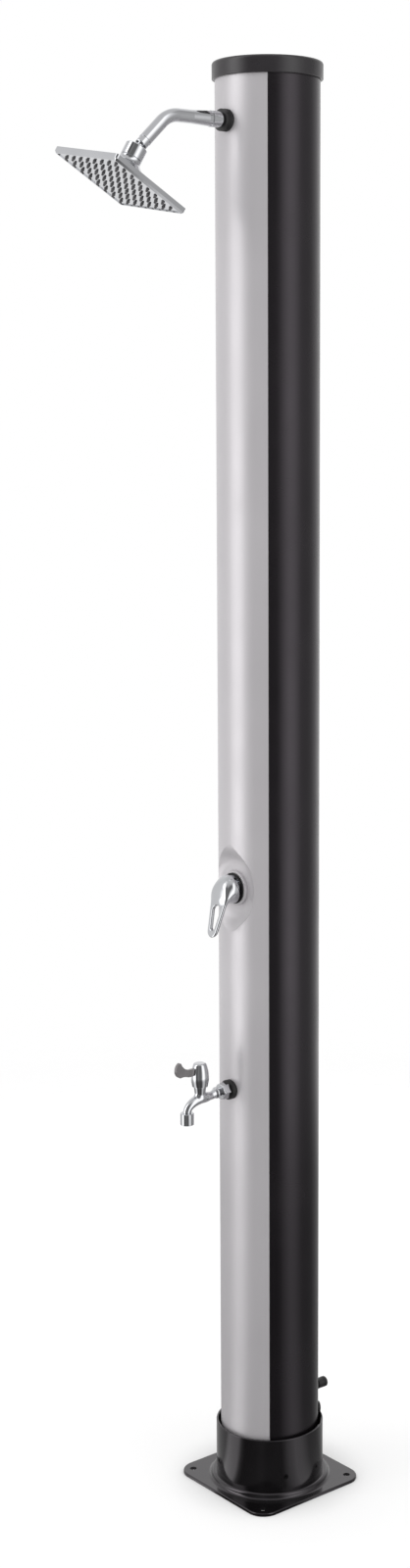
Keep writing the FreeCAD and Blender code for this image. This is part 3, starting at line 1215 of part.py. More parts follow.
def tap_outlet():
    """Chrome sleeve screwed on the spout, with the aerator in its mouth."""
    low, edge = "-outlet_end", "outlet_edge"
    sleeve = turned("tap_nozzle", [
        ("spout_thread_d / 2 + tail_play", "-spout_end"), ("outlet_d / 2 - " + edge, "-spout_end"),
        ("outlet_d / 2", "-(spout_end + outlet_edge)"), ("outlet_d / 2", low + " + " + edge),
        ("outlet_d / 2 - " + edge, low), ("outlet_bore_d / 2", low),
        ("outlet_bore_d / 2", "-(spout_end + spout_thread)"),
        ("spout_thread_d / 2 + tail_play", "-(spout_end + spout_thread)"),
    ], y="-spout_reach", z="tap_height")
    body = new_body("aerator")
    foot = low + " + aerator_sunk"
    pad(body, lifted(circle(body, "XY_Plane", "0", "0", "outlet_bore_d / 2 - tail_play"), foot),
        "aerator_thick")
    hole = pocket(body, lifted(circle(body, "XY_Plane", "aerator_ring_d / 2", "0", "aerator_hole_d / 2"),
                               foot), "aerator_thick", back=True)
    around(body, hole, int(size("aerator_holes")))
    put(body, UPRIGHT, y="-spout_reach", z="tap_height")
    keep(body, "aerator")
    return sleeve


def tap_handle():
    """Headpart in the stem, spindle in it, egg shaped hub on the spindle and a fishtail lever."""
    place = {"y": "-tap_stem_reach", "z": "tap_height"}
    flange_top = "tap_stem_top + headpart_flange_thick"
    bore = "tap_spindle_d / 2 + spindle_play"
    turned("tap_headpart", [
        (bore, "tap_chamber_floor"), ("tap_chamber_d / 2 - tail_play", "tap_chamber_floor"),
        ("tap_chamber_d / 2 - tail_play", "tap_stem_top"), ("headpart_flange_d / 2", "tap_stem_top"),
        ("headpart_flange_d / 2", flange_top), ("headpart_neck_d / 2", flange_top),
        ("headpart_neck_d / 2", "headpart_top"), (bore, "headpart_top"),
    ], **place)
    turned("tap_spindle", ring_points("0", "tap_spindle_d / 2", "tap_chamber_floor + joint_play",
                                      "tap_spindle_top"), **place)
    hub = new_body("tap_hub")
    cavity, inside = "tap_hub_cavity_d / 2", "headpart_top + tap_hub_gap"
    top_gap = "tap_spindle_top + spindle_play"
    turn(hub, [
        (cavity, "hub_foot"), ("tap_hub_foot_d / 2", "hub_foot", "tap_hub_swell"),
        ("tap_hub_head_d / 2", "tap_hub_shoulder", "tap_hub_round"),
        ("tap_hub_top_d / 2", "tap_hub_top"), ("0", "tap_hub_top"), ("0", top_gap), (bore, top_gap),
        (bore, inside), (cavity, inside),
    ])
    low = "(tap_lever_height - tap_lever_neck / 2)"
    high = "(tap_lever_height + tap_lever_neck / 2)"
    pocket(hub, outline(hub, "YZ_Plane", [
        ("-tap_lever_root", low + " - tail_play"), ("-tap_hub_foot_d", low + " - tail_play"),
        ("-tap_hub_foot_d", high + " + tail_play"), ("-tap_lever_root", high + " + tail_play"),
    ]), "tap_lever_thick + tail_play * 2", both=True)
    pocket(hub, circle(hub, "XZ_Plane", "0", "tap_grub_height", "grub_d / 2 + tail_play"), "tap_hub_foot_d")
    put(hub, UPRIGHT, **place)
    keep(hub, "tap_hub")
    screw = ahead("grub_d / 2", "tap_stem_reach - (%s) - grub_length" % bore,
                  "tap_stem_reach - (%s)" % bore, "tap_height + tap_grub_height")
    keep(screw, "tap_grub_screw")
    tap_lever(low, high)


def tap_lever(low, high):
    """Grey fishtail lever: straight tang in the hub, flared tail."""
    body = new_body("tap_lever")
    middle, half = "tap_lever_height + tap_lever_rise", "tap_lever_flare / 2"
    root = "-(tap_stem_reach + tap_lever_root)"

    def back(distance):
        return "%s - tap_lever_tip_reach" % distance

    pad(body, outline(body, "YZ_Plane", [
        (root, low), (back("tap_lever_flare"), low, "tap_lever_flare"),
        (back("tail_low_back"), "%s - %s" % (middle, half), "-tail_round"),
        (back("0"), middle + " + tail_tip_rise", "-tail_round"),
        (back("tail_high_back"), "%s + %s" % (middle, half), "-tail_lip_round"),
        (back("tail_lip_back"), "%s + %s - tail_lip_drop" % (middle, half), "tail_upper_round"),
        (back("tail_run"), high), (root, high),
    ]), "tap_lever_thick", both=True)
    put(body, UPRIGHT, z="tap_height")
    return keep(body, "tap_lever")


# ---- hose inlet and drain --------------------------------------------------------------------------------

def hose_inlet():
    """Hose connector at the back: flanged fitting with a snap plug and its seal."""
    neck, collar, plug = "inlet_neck_d / 2", "inlet_collar_d / 2", "inlet_plug_d / 2"
    collar_end, plug_end = "inlet_collar_reach + inlet_collar_w", "inlet_plug_reach + inlet_plug_w"
    groove_end = plug_end + " + inlet_groove_w"
    bore, slit = "inlet_bore_d / 2", "inlet_groove_d / 2"
    place = {"rotation": TOWARDS_BACK, "z": "inlet_height"}
    turned("inlet_fitting", [
        (bore, "union_tail_reach"), ("tail_r", "union_tail_reach"), ("tail_r", "face_reach"),
        ("inlet_flange_d / 2", "face_reach"), ("inlet_flange_d / 2", "inlet_face_reach"),
        (neck, "inlet_face_reach"), (neck, "inlet_collar_reach"), (collar, "inlet_collar_reach"),
        (collar, collar_end), (neck, collar_end), (neck, "inlet_plug_reach"), (plug, "inlet_plug_reach"),
        (plug, plug_end), (slit, plug_end), (slit, groove_end), (plug, groove_end),
        (plug, "inlet_tip_reach - edge_break"), (plug + " - edge_break", "inlet_tip_reach"),
        (bore, "inlet_tip_reach"),
    ], **place)
    turned("inlet_seal", ring_points(slit + " + tail_play", "inlet_seal_d / 2", plug_end + " + joint_play",
                                     groove_end + " - joint_play"), **place)


def drain():
    """Drain screw low at the back: domed slotted head on a gasket, flanged nut inside."""
    angle = size("drain_angle")
    shank, head = "drain_shank_d / 2", "drain_d / 2"
    hole = shank + " + tail_play"
    gasket = outer_saddle("drain_gasket_d / 2", hole, "drain_face_reach", "drain_height")
    keep(spun(gasket, angle), "drain_gasket")
    body = new_body("drain_plug")
    top = "drain_face_reach + drain_head"
    turn(body, [
        ("0", "drain_shank_end"), (shank, "drain_shank_end"), (shank, "drain_face_reach"),
        (head, "drain_face_reach"), (head, top + " - drain_dome",
                                     "((%s) ^ 2 + drain_dome ^ 2) / (2 * drain_dome)" % head), ("0", top),
    ])
    floor = top + " - drain_slot_deep"
    pocket(body, outline(body, "YZ_Plane", [
        ("-drain_slot / 2", floor), ("drain_slot / 2", floor), ("drain_slot / 2", top + " + overrun"),
        ("-drain_slot / 2", top + " + overrun"),
    ]), "drain_d * 2", both=True)
    put(body, Rotation(Vector(0, 0, 1), angle) * TOWARDS_FRONT, z="drain_height")
    keep(body, "drain_plug")
    flange = inner_saddle("drain_d / 2", hole, "drain_nut_reach", "drain_height")
    nut = cut(hexagon("drain_nut_flats", "drain_nut_reach - drain_nut_thick", "drain_nut_reach",
                      "drain_height"), ahead(hole, "0", "tube_od", "drain_height"))
    keep(spun(joined(flange, nut), angle), "drain_nut")


# ---- the whole post ----------------------------------------------------------------------------------

def check():
    """Stop if any object failed or any sub-part's shape is empty or broken."""
    doc.recompute()
    faults = [thing.Label for thing in doc.Objects if {"Invalid", "Error"} & set(thing.State)]
    faults += [node.Label for node in nodes if node.Shape.isNull() or not node.Shape.isValid()]
    if faults:
        raise RuntimeError("failed: " + ", ".join(faults))


def export():
    """Write each sub-part to a file of its own."""
    os.makedirs("parts", exist_ok=True)
    for node in nodes:
        node.Shape.exportStep("parts/%s.step" % node.Label)


for make in (base_plate, base_collar, collar_screws, tank_tube, front_panel, caps, gaskets, union_fasteners,
             arm_parts, head_parts, mixer_body, mixer_trim, cartridge, mixer_lever, pipes, tap_body,
             tap_outlet, tap_handle, hose_inlet, drain):
    make()
check()
export()
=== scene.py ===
"""Looks of the outdoor shower post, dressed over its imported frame.

Metres. The origin is the centre of the base plate's underside, +Z is up and the front faces -Y.
"""

import json
import math

import bmesh
import bpy
import numpy as np
from mathutils import Matrix, Vector


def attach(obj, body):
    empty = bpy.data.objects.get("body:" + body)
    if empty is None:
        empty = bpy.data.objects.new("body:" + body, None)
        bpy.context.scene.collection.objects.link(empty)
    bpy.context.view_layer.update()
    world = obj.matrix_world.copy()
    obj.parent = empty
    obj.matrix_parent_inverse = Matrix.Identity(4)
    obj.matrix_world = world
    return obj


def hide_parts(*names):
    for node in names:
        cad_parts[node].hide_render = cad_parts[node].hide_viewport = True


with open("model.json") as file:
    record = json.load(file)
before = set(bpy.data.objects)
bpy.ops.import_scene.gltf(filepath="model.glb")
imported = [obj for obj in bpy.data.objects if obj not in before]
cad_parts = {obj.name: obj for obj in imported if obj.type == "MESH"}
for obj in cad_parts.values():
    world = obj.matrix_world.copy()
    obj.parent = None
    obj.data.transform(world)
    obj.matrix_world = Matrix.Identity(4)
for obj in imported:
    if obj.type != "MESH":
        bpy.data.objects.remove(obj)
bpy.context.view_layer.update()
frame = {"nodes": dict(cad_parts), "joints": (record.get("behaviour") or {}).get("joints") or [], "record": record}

MM = 0.001
AXIS_Z = Vector((0, 0, 1))


# ---- the camera that took the photograph ------------------------------------------------------------

CAMERA_DISTANCE = 3.4365       # from the post's axis, level
CAMERA_HEIGHT = 1.7445
CAMERA_AZIMUTH = -40           # degrees from +X: the post's front is 50 degrees to the left
CAMERA_FALL = 8.63             # degrees that the view points down
CAMERA_ROLL = -0.09
CAMERA_LENS, CAMERA_FRAME = 50.66, 36          # in mm, the frame on the picture's long side
CAMERA_SHIFT = (-0.0405, -0.0248)


def camera():
    """The photograph's camera."""
    azimuth, fall = math.radians(CAMERA_AZIMUTH), math.radians(CAMERA_FALL)
    seen = bpy.data.cameras.new("photo_camera")
    seen.lens, seen.sensor_width = CAMERA_LENS, CAMERA_FRAME
    seen.shift_x, seen.shift_y = CAMERA_SHIFT
    seen.clip_end = 50
    eye = bpy.data.objects.new("photo_camera", seen)
    bpy.context.scene.collection.objects.link(eye)
    level = Vector((math.cos(azimuth), math.sin(azimuth), 0))
    along = -level * math.cos(fall) - AXIS_Z * math.sin(fall)
    right = along.cross(AXIS_Z).normalized()
    up = right.cross(along)
    turned = Matrix((right, up, -along)).transposed().to_4x4()
    place = level * CAMERA_DISTANCE + AXIS_Z * CAMERA_HEIGHT
    eye.matrix_world = Matrix.Translation(place) @ turned @ Matrix.Rotation(math.radians(CAMERA_ROLL), 4, "Z")
    bpy.context.scene.camera = eye


# ---- colours and shader nodes -----------------------------------------------------------------------

def linear(colour):
    """A "#rrggbb" sRGB colour as linear RGBA."""
    parts = [int(colour[n:n + 2], 16) / 255 for n in (1, 3, 5)]
    return [p / 12.92 if p <= 0.04045 else ((p + 0.055) / 1.055) ** 2.4 for p in parts] + [1]


def add(tree, kind, inputs=None, **settings):
    """Add a node. inputs maps a socket's name or number to a value or to another node's output."""
    made = tree.nodes.new(kind)
    for name, value in settings.items():
        setattr(made, name, value)
    for name, value in (inputs or {}).items():
        if isinstance(value, bpy.types.NodeSocket):
            tree.links.new(value, made.inputs[name])
        else:
            made.inputs[name].default_value = value
    return made


def blank_material(name):
    """A material with an empty node tree and its output."""
    material = bpy.data.materials.new(name)
    material.use_nodes = True
    material.node_tree.nodes.clear()
    return material, material.node_tree


PATTERN_LOW, PATTERN_HIGH = 0.3, 0.7           # most of a cloudy pattern's values lie between these


def blotches(tree, size, stretch=(1, 1, 1), detail=2):
    """A cloudy pattern on Object coordinates, its blotches about size metres."""
    place = add(tree, "ShaderNodeTexCoord").outputs["Object"]
    scaled = add(tree, "ShaderNodeMapping", {"Vector": place, "Scale": [s / size for s in stretch]})
    return add(tree, "ShaderNodeTexNoise",
               {"Vector": scaled.outputs[0], "Scale": 1, "Detail": detail}).outputs["Fac"]


def surface(name, colours, roughness, metallic=0, tone_size=60 * MM, rough_size=25 * MM, bump=None, **more):
    """A finished surface: two close tones in blotches, a roughness that varies and an optional bump.

    bump is (pattern size, stretch, height), more are other inputs of the shader.
    """
    material, tree = blank_material(name)
    limits = {"From Min": PATTERN_LOW, "From Max": PATTERN_HIGH}
    spread = add(tree, "ShaderNodeMapRange", {"Value": blotches(tree, tone_size), **limits})
    tones = add(tree, "ShaderNodeMix", {"Factor": spread.outputs[0]}, data_type="RGBA")
    for side, colour in zip("AB", colours):
        tones.inputs[side].default_value = linear(colour)
    gloss = add(tree, "ShaderNodeMapRange", {
        "Value": blotches(tree, rough_size, detail=4), **limits,
        "To Min": roughness[0], "To Max": roughness[1],
    })
    inputs = {"Base Color": tones.outputs["Result"], "Roughness": gloss.outputs[0], "Metallic": metallic}
    if bump:
        size, stretch, height = bump
        relief = add(tree, "ShaderNodeBump",
                     {"Height": blotches(tree, size, stretch, detail=3), "Distance": height, "Strength": 1.0})
        inputs["Normal"] = relief.outputs[0]
    inputs.update({key.replace("_", " "): value for key, value in more.items()})
    shader = add(tree, "ShaderNodeBsdfPrincipled", inputs)
    add(tree, "ShaderNodeOutputMaterial", {"Surface": shader.outputs[0]})
    return material


# ---- the finishes -----------------------------------------------------------------------------------

def polished_chrome():
    """Chrome plate on polished brass: a near mirror with faint wiping marks in its gloss."""
    return surface("polished_chrome", ("#c6c7ca", "#cdced1"), (0.02, 0.06), metallic=1,
                   bump=(9 * MM, (1, 1, 1), 0.02 * MM))


def satin_silver():
    """Silver lacquered skin, lightly brushed along the post: soft broad highlights."""
    # a brushed line is about 0.2 mm wide, drawn as 1 mm so that it shows
    return surface("satin_silver_lacquer", ("#c3c0c3", "#c9c6c9"), (0.34, 0.40), metallic=0.35,
                   tone_size=180 * MM, rough_size=70 * MM, bump=(1 * MM, (1, 1, 0.02), 0.004 * MM))


def extruded_pvc():
    """Black extruded PVC: deep black with a soft gloss and faint draw lines up the tube."""
    return surface("extruded_black_pvc", ("#0e0c0e", "#151315"), (0.20, 0.30), tone_size=200 * MM,
                   rough_size=90 * MM, bump=(6 * MM, (1, 1, 0.015), 0.02 * MM),
                   Specular_Tint=linear("#fff4ff"))


def moulded_abs():
    """Black injection moulded ABS: a fine even grain that takes the edge off its gloss."""
    return surface("moulded_black_abs", ("#252225", "#2c292c"), (0.26, 0.36),
                   bump=(1.2 * MM, (1, 1, 1), 0.015 * MM))


def powder_coat():
    """Glossy black powder coat on steel: wet gloss with the slight orange peel of baked powder."""
    return surface("black_powder_coat", ("#0b0a0b", "#121112"), (0.10, 0.18), tone_size=90 * MM,
                   bump=(2.5 * MM, (1, 1, 1), 0.03 * MM), Coat_Weight=0.4, Specular_Tint=linear("#fff4ff"))


def rubber():
    """Black EPDM rubber: matt, a little grey where it is dry."""
    return surface("black_epdm_rubber", ("#141314", "#201f20"), (0.5, 0.65),
                   bump=(0.8 * MM, (1, 1, 1), 0.02 * MM))


def silicone():
    """Grey silicone: soft nozzles."""
    return surface("grey_silicone", ("#4c4b4d", "#5e5d5f"), (0.3, 0.42), tone_size=12 * MM,
                   bump=(0.8 * MM, (1, 1, 1), 0.01 * MM))


def satin_grey():
    """Satin grey plated zinc of the foot tap's handle."""
    return surface("satin_grey_zinc", ("#858283", "#939091"), (0.24, 0.34), metallic=0.9, tone_size=15 * MM,
                   bump=(0.7 * MM, (1, 1, 1), 0.01 * MM))


def machined_brass():
    """Machined brass: warm metal with fine tool marks."""
    return surface("machined_brass", ("#b08d4c", "#c29c58"), (0.22, 0.34), metallic=1, tone_size=20 * MM,
                   bump=(0.6 * MM, (1, 1, 1), 0.01 * MM))


def ceramic():
    """Lapped white alumina: smooth and bright."""
    return surface("lapped_alumina", ("#e8e6e0", "#efede8"), (0.12, 0.2), tone_size=8 * MM)


def acetal():
    """White moulded acetal of the cartridge and the ball seat."""
    return surface("white_acetal", ("#d6d4ce", "#e0ded8"), (0.32, 0.42), tone_size=10 * MM)


def polyethylene():
    """Milky extruded polyethylene water pipe."""
    return surface("milky_polyethylene", ("#c6c5c0", "#d0cfca"), (0.3, 0.42), tone_size=30 * MM)


def blackened_steel():
    """Black oxide on steel screws: dark with bright worn edges."""
    return surface("black_oxide_steel", ("#1d1c1d", "#3a393a"), (0.25, 0.4), metallic=0.9, tone_size=2 * MM,
                   rough_size=3 * MM)


def dark_nylon():
    """Black glass filled nylon of the hose inlet and the drain."""
    return surface("black_nylon", ("#1b1a1b", "#252425"), (0.34, 0.46), tone_size=8 * MM,
                   bump=(0.5 * MM, (1, 1, 1), 0.015 * MM))


FINISHES = {
    "powder_black": powder_coat, "base_steel": powder_coat, "black_pvc": extruded_pvc,
    "silver_panel": satin_silver, "cap_plastic": moulded_abs, "inner_plastic": moulded_abs,
    "black_rubber": rubber, "black_nut": dark_nylon, "chrome": polished_chrome, "white_acetal": acetal,
    "silicone": silicone, "brass": machined_brass, "satin_ring": satin_silver, "ceramic": ceramic,
    "pipe_plastic": polyethylene, "tap_grey": satin_grey, "fitting_plastic": dark_nylon,
    "screw_steel": blackened_steel,
}
PLATED = ("mixer_body", "cartridge_nut", "cartridge_carrier")    # chrome plated: their front ends show


def dress():
    """Give every node its finish, by the record's material slots; return the finishes by slot."""
    made = {}
    for entry in frame["record"]["subparts"]:
        slot = entry["material_slot"]
        if slot not in made:
            recipe = FINISHES[slot]
            twin = next((done for other, done in made.items() if FINISHES[other] is recipe), None)
            made[slot] = twin or recipe()
        mesh = frame["nodes"][entry["node"]].data
        mesh.materials.clear()
        mesh.materials.append(made[slot])
    for node in PLATED:
        frame["nodes"][node].data.materials[0] = made["chrome"]
    return made


# ---- pieces modelled here ---------------------------------------------------------------------------

WELD = 0.001 * MM              # points nearer than this become one


def linked(mesh, name):
    """An object of a mesh, in the scene."""
    piece = bpy.data.objects.new(name, mesh)
    bpy.context.scene.collection.objects.link(piece)
    return piece


def finished(build, name, material=None, sharp=40):
    """A bmesh as an object: normals outward, smooth but for its edges sharper than an angle."""
    bmesh.ops.remove_doubles(build, verts=build.verts, dist=WELD)
    bmesh.ops.recalc_face_normals(build, faces=build.faces)
    for face in build.faces:
        face.smooth = True
    for edge in build.edges:
        edge.smooth = len(edge.link_faces) == 2 and edge.calc_face_angle(0) < math.radians(sharp)
    mesh = bpy.data.meshes.new(name)
    build.to_mesh(mesh)
    build.free()
    if material:
        mesh.materials.append(material)
    return linked(mesh, name)


def lathed(profile, segments, name, sides=0, sharp=40):
    """Turn (radius, height) points in millimetres about Z, both ends capped.

    With sides, the last two rings are a polygon's.
    """
    build = bmesh.new()
    rings = []
    for row, (radius, height) in enumerate(profile):
        ring = []
        for n in range(segments):
            angle = 2 * math.pi * n / segments
            reach = radius * MM
            if sides and row >= len(profile) - 2:
                half = math.pi / sides
                reach /= math.cos((angle % (2 * half)) - half)
            ring.append(build.verts.new((reach * math.cos(angle), reach * math.sin(angle), height * MM)))
        rings.append(ring)
    for low, high in zip(rings, rings[1:]):
        for n in range(segments):
            after = (n + 1) % segments
            build.faces.new((low[n], low[after], high[after], high[n]))
    build.faces.new(rings[0])
    build.faces.new(rings[-1])
    return finished(build, name, sharp=sharp)


def joint_place(name):
    """Where a joint's axis passes."""
    return next(joint for joint in frame["joints"] if joint["name"] == name)["pos_m"]


def sized_tree(name, sizes):
    """A Geometry Nodes tree with an input for each size and one output, and what its inputs give."""
    tree = bpy.data.node_groups.new(name, "GeometryNodeTree")
    for label, size in sizes.items():
        kind = "NodeSocketInt" if isinstance(size, int) else "NodeSocketFloat"
        tree.interface.new_socket(label, in_out="INPUT", socket_type=kind)
    tree.interface.new_socket("Geometry", in_out="OUTPUT", socket_type="NodeSocketGeometry")
    return tree, add(tree, "NodeGroupInput").outputs


def made_real(tree, geometry, material):
    """End a tree: its instances made real, in one finish."""
    real = add(tree, "GeometryNodeRealizeInstances", {"Geometry": geometry})
    coated = add(tree, "GeometryNodeSetMaterial", {"Geometry": real.outputs[0], "Material": material})
    add(tree, "NodeGroupOutput", {0: coated.outputs[0]})


def run_tree(tree, sizes, name):
    """Run a Geometry Nodes tree with its sizes; return its plain mesh object."""
    carrier = linked(bpy.data.meshes.new(name + "_carrier"), name + "_carrier")
    modifier = carrier.modifiers.new("nodes", "NODES")
    modifier.node_group = tree
    for socket in tree.interface.items_tree:
        if socket.in_out == "INPUT":
            modifier[socket.identifier] = sizes[socket.name]
    bpy.context.view_layer.update()
    graph = bpy.context.evaluated_depsgraph_get()
    mesh = bpy.data.meshes.new_from_object(carrier.evaluated_get(graph), depsgraph=graph)
    mesh.name = name
    bpy.data.objects.remove(carrier)
    return linked(mesh, name)


# the head hangs from the centre of its ball joint; its own frame has Z up its neck
HEAD_TURN, HEAD_TILT, HEAD_LEAN = 6, -27.3, 10
FACE_DROP = 49.1 * MM          # the face plate's surface, under the ball's centre
MAT_SIDE, MAT_THICK = 133 * MM, 1.8 * MM
MAT_RISE = 1.6 * MM            # the mat lies this far behind the plate's surface
NOZZLE_PITCH, NOZZLE_COUNT = 16.8 * MM, 8
NOZZLE_SEGMENTS = 12
NOZZLE_PROFILE = (             # root in the mat, lip on the plate, cone and bore, mouth down
    (2.45, 2), (2.45, 0.02), (2.9, 0), (2.9, -0.45), (2.401, -0.54),
    (1.65, -4.3), (1.35, -4.6), (0.65, -4.6), (0.65, -3.4),
)


def head_place():
    """The head's own frame: where its ball is and how it hangs."""
    turn = Matrix()
    for angle, axis in ((HEAD_TURN, "Z"), (HEAD_TILT, "X"), (HEAD_LEAN, "Y")):
        turn = turn @ Matrix.Rotation(math.radians(angle), 4, axis)
    return Matrix.Translation(joint_place("head_spin")) @ turn


def nozzle_field(material):
    """The silicone mat behind the face plate with its square field of soft nozzles."""
    seed = lathed(NOZZLE_PROFILE, NOZZLE_SEGMENTS, "one_nozzle")
    sizes = {"Pitch": NOZZLE_PITCH, "Count": NOZZLE_COUNT, "Drop": FACE_DROP, "Mat Side": MAT_SIDE,
             "Mat Thickness": MAT_THICK, "Mat Middle": MAT_RISE + MAT_THICK / 2}
    tree, given = sized_tree("nozzle_field", sizes)
    gaps = add(tree, "ShaderNodeMath", {0: given["Count"], 1: 1.0}, operation="SUBTRACT")
    side = add(tree, "ShaderNodeMath", {0: gaps.outputs[0], 1: given["Pitch"]}, operation="MULTIPLY")
    points = add(tree, "GeometryNodeMeshGrid", {
        "Size X": side.outputs[0], "Size Y": side.outputs[0],
        "Vertices X": given["Count"], "Vertices Y": given["Count"],
    })
    nozzle = add(tree, "GeometryNodeObjectInfo", {"Object": seed})
    field = add(tree, "GeometryNodeInstanceOnPoints",
                {"Points": points.outputs["Mesh"], "Instance": nozzle.outputs["Geometry"]})
    mat_size = add(tree, "ShaderNodeCombineXYZ",
                   {0: given["Mat Side"], 1: given["Mat Side"], 2: given["Mat Thickness"]})
    slab = add(tree, "GeometryNodeMeshCube", {"Size": mat_size.outputs[0]})
    rise = add(tree, "ShaderNodeCombineXYZ", {2: given["Mat Middle"]})
    mat = add(tree, "GeometryNodeTransform",
              {"Geometry": slab.outputs["Mesh"], "Translation": rise.outputs[0]})
    both = add(tree, "GeometryNodeJoinGeometry")
    for part in (field, mat):
        tree.links.new(part.outputs[0], both.inputs[0])
    down = add(tree, "ShaderNodeMath", {0: given["Drop"], 1: -1.0}, operation="MULTIPLY")
    lowered = add(tree, "ShaderNodeCombineXYZ", {2: down.outputs[0]})
    moved = add(tree, "GeometryNodeTransform",
                {"Geometry": both.outputs[0], "Translation": lowered.outputs[0]})
    made_real(tree, moved.outputs[0], material)
    piece = run_tree(tree, sizes, "nozzle_field")
    bpy.data.objects.remove(seed)
    piece.data.transform(head_place())
    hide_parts("nozzle_mat")
    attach(piece, "shower_head")


COLLAR_RADIUS = 87.5 * MM
SCREW_HEIGHT, SCREW_SUNK = 38 * MM, 0.6 * MM
SCREW_COUNT, FIRST_SCREW = 4, -112.5           # the first is this many degrees round from +X
SCREW_SEGMENTS = 24
SCREW_PROFILE = (              # chamfered shank, its end up, and the hexagon socket's two rings
    (3.45, -6.9), (3.95, -6.4), (3.95, -0.5), (3.45, 0), (1.75, 0), (1.75, -2.6),
)


def collar_screws(material):
    """The socket set screws round the collar."""
    seed = lathed(SCREW_PROFILE, SCREW_SEGMENTS, "one_screw", sides=6, sharp=25)
    sizes = {"Count": SCREW_COUNT, "Radius": COLLAR_RADIUS - SCREW_SUNK, "Height": SCREW_HEIGHT}
    tree, given = sized_tree("screw_ring", sizes)
    ring = add(tree, "GeometryNodeMeshCircle", {"Vertices": given["Count"], "Radius": given["Radius"]})
    place = add(tree, "GeometryNodeInputPosition")
    outward = add(tree, "FunctionNodeAlignRotationToVector", {"Vector": place.outputs[0]}, axis="Z")
    screw = add(tree, "GeometryNodeObjectInfo", {"Object": seed})
    screws = add(tree, "GeometryNodeInstanceOnPoints", {
        "Points": ring.outputs["Mesh"], "Instance": screw.outputs["Geometry"], "Rotation": outward.outputs[0],
    })
    level = add(tree, "ShaderNodeCombineXYZ", {2: given["Height"]})
    raised = add(tree, "GeometryNodeTransform",
                 {"Geometry": screws.outputs[0], "Translation": level.outputs[0]})
    made_real(tree, raised.outputs[0], material)
    piece = run_tree(tree, sizes, "collar_set_screws")
    bpy.data.objects.remove(seed)
    piece.data.transform(Matrix.Rotation(math.radians(FIRST_SCREW), 4, "Z"))
    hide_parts("collar_screws")
    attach(piece, "post")


# ---- castings: drawn as signed distances in millimetres, negative inside, and netted to a mesh -------

NET_STEP = 0.6                 # the size of the net's cells
EVENING_ROUNDS, EVENING_SHARE = 4, 0.5
PULL_ROUNDS = 4
SLOPE_STEP = NET_STEP / 20     # a slope is measured this far to both sides
LEAST_STEEPNESS = 0.1          # squared; keeps a flat spot from throwing a point far


def rounded_edge(first, second, radius):
    """Where both shapes are, with the edge between them rounded."""
    over = np.hypot(np.maximum(radius + first, 0), np.maximum(radius + second, 0))
    return np.minimum(-radius, np.maximum(first, second)) + over


def filleted(first, second, radius):
    """Where either shape is, with a fillet between them."""
    return -rounded_edge(-first, -second, radius)


def tapered(across, down, radius, end_radius, length):
    """Flat drop shape: a circle at the origin drawn out to another, length further down."""
    side = np.abs(across)
    lean = (radius - end_radius) / length
    slant = math.sqrt(1 - lean * lean)
    way = slant * down - lean * side
    flank = slant * side + lean * down - radius
    end = np.hypot(side, down - length) - end_radius
    return np.where(way < 0, np.hypot(side, down) - radius, np.where(way > slant * length, end, flank))


def pulled(distance, points):
    """Points moved onto a signed distance's surface, down its slope."""
    for _ in range(PULL_ROUNDS):
        slope = np.stack([distance(*(points + nudge).T) - distance(*(points - nudge).T)
                          for nudge in SLOPE_STEP * np.eye(3)], -1) / (2 * SLOPE_STEP)
        steepness = np.maximum((slope ** 2).sum(1), LEAST_STEEPNESS)
        travel = (distance(*points.T) / steepness)[:, None] * slope
        points = points - np.clip(travel, -NET_STEP, NET_STEP)
    return points


def netted(distance, low, high):
    """The surface of a signed distance as a bmesh: a point in each cell it crosses, evened out on it."""
    axes = [np.arange(a, b + NET_STEP, NET_STEP) for a, b in zip(low, high)]
    inside = distance(*np.meshgrid(*axes, indexing="ij")) < 0
    cells = tuple(count - 1 for count in inside.shape)
    full = np.zeros(cells, int)
    for corner in np.ndindex(2, 2, 2):
        full += inside[tuple(slice(c, c + n) for c, n in zip(corner, cells))]
    crossed = (full > 0) & (full < 8)
    number = np.full(cells, -1)
    number[crossed] = np.arange(crossed.sum())
    build = bmesh.new()
    spots = [build.verts.new(np.array(low) + (cell + 0.5) * NET_STEP) for cell in np.argwhere(crossed)]
    for axis in range(3):
        first, second = np.eye(3, dtype=int)[[n for n in range(3) if n != axis]]
        for cell in np.argwhere(np.diff(inside, axis=axis)):
            ring = (cell, cell - first, cell - first - second, cell - second)
            build.faces.new([spots[number[tuple(corner)]] for corner in ring])
    for _ in range(EVENING_ROUNDS):
        bmesh.ops.smooth_vert(build, verts=build.verts, factor=EVENING_SHARE,
                              use_axis_x=True, use_axis_y=True, use_axis_z=True)
        even = pulled(distance, np.array([spot.co for spot in spots]))
        for spot, point in zip(spots, even):
            spot.co = point
    return build


def cast(distance, box, foot, name, material):
    """A casting of a shape drawn across, up and out to the front from its foot, all of it in a box."""
    build = netted(distance, *box)
    to_front = Matrix(((1, 0, 0), (0, 0, -1), (0, 1, 0))).to_4x4()
    place = Matrix.Translation(foot) @ to_front @ Matrix.Scale(MM, 4)
    bmesh.ops.transform(build, matrix=place, verts=build.verts)
    return finished(build, name, material)


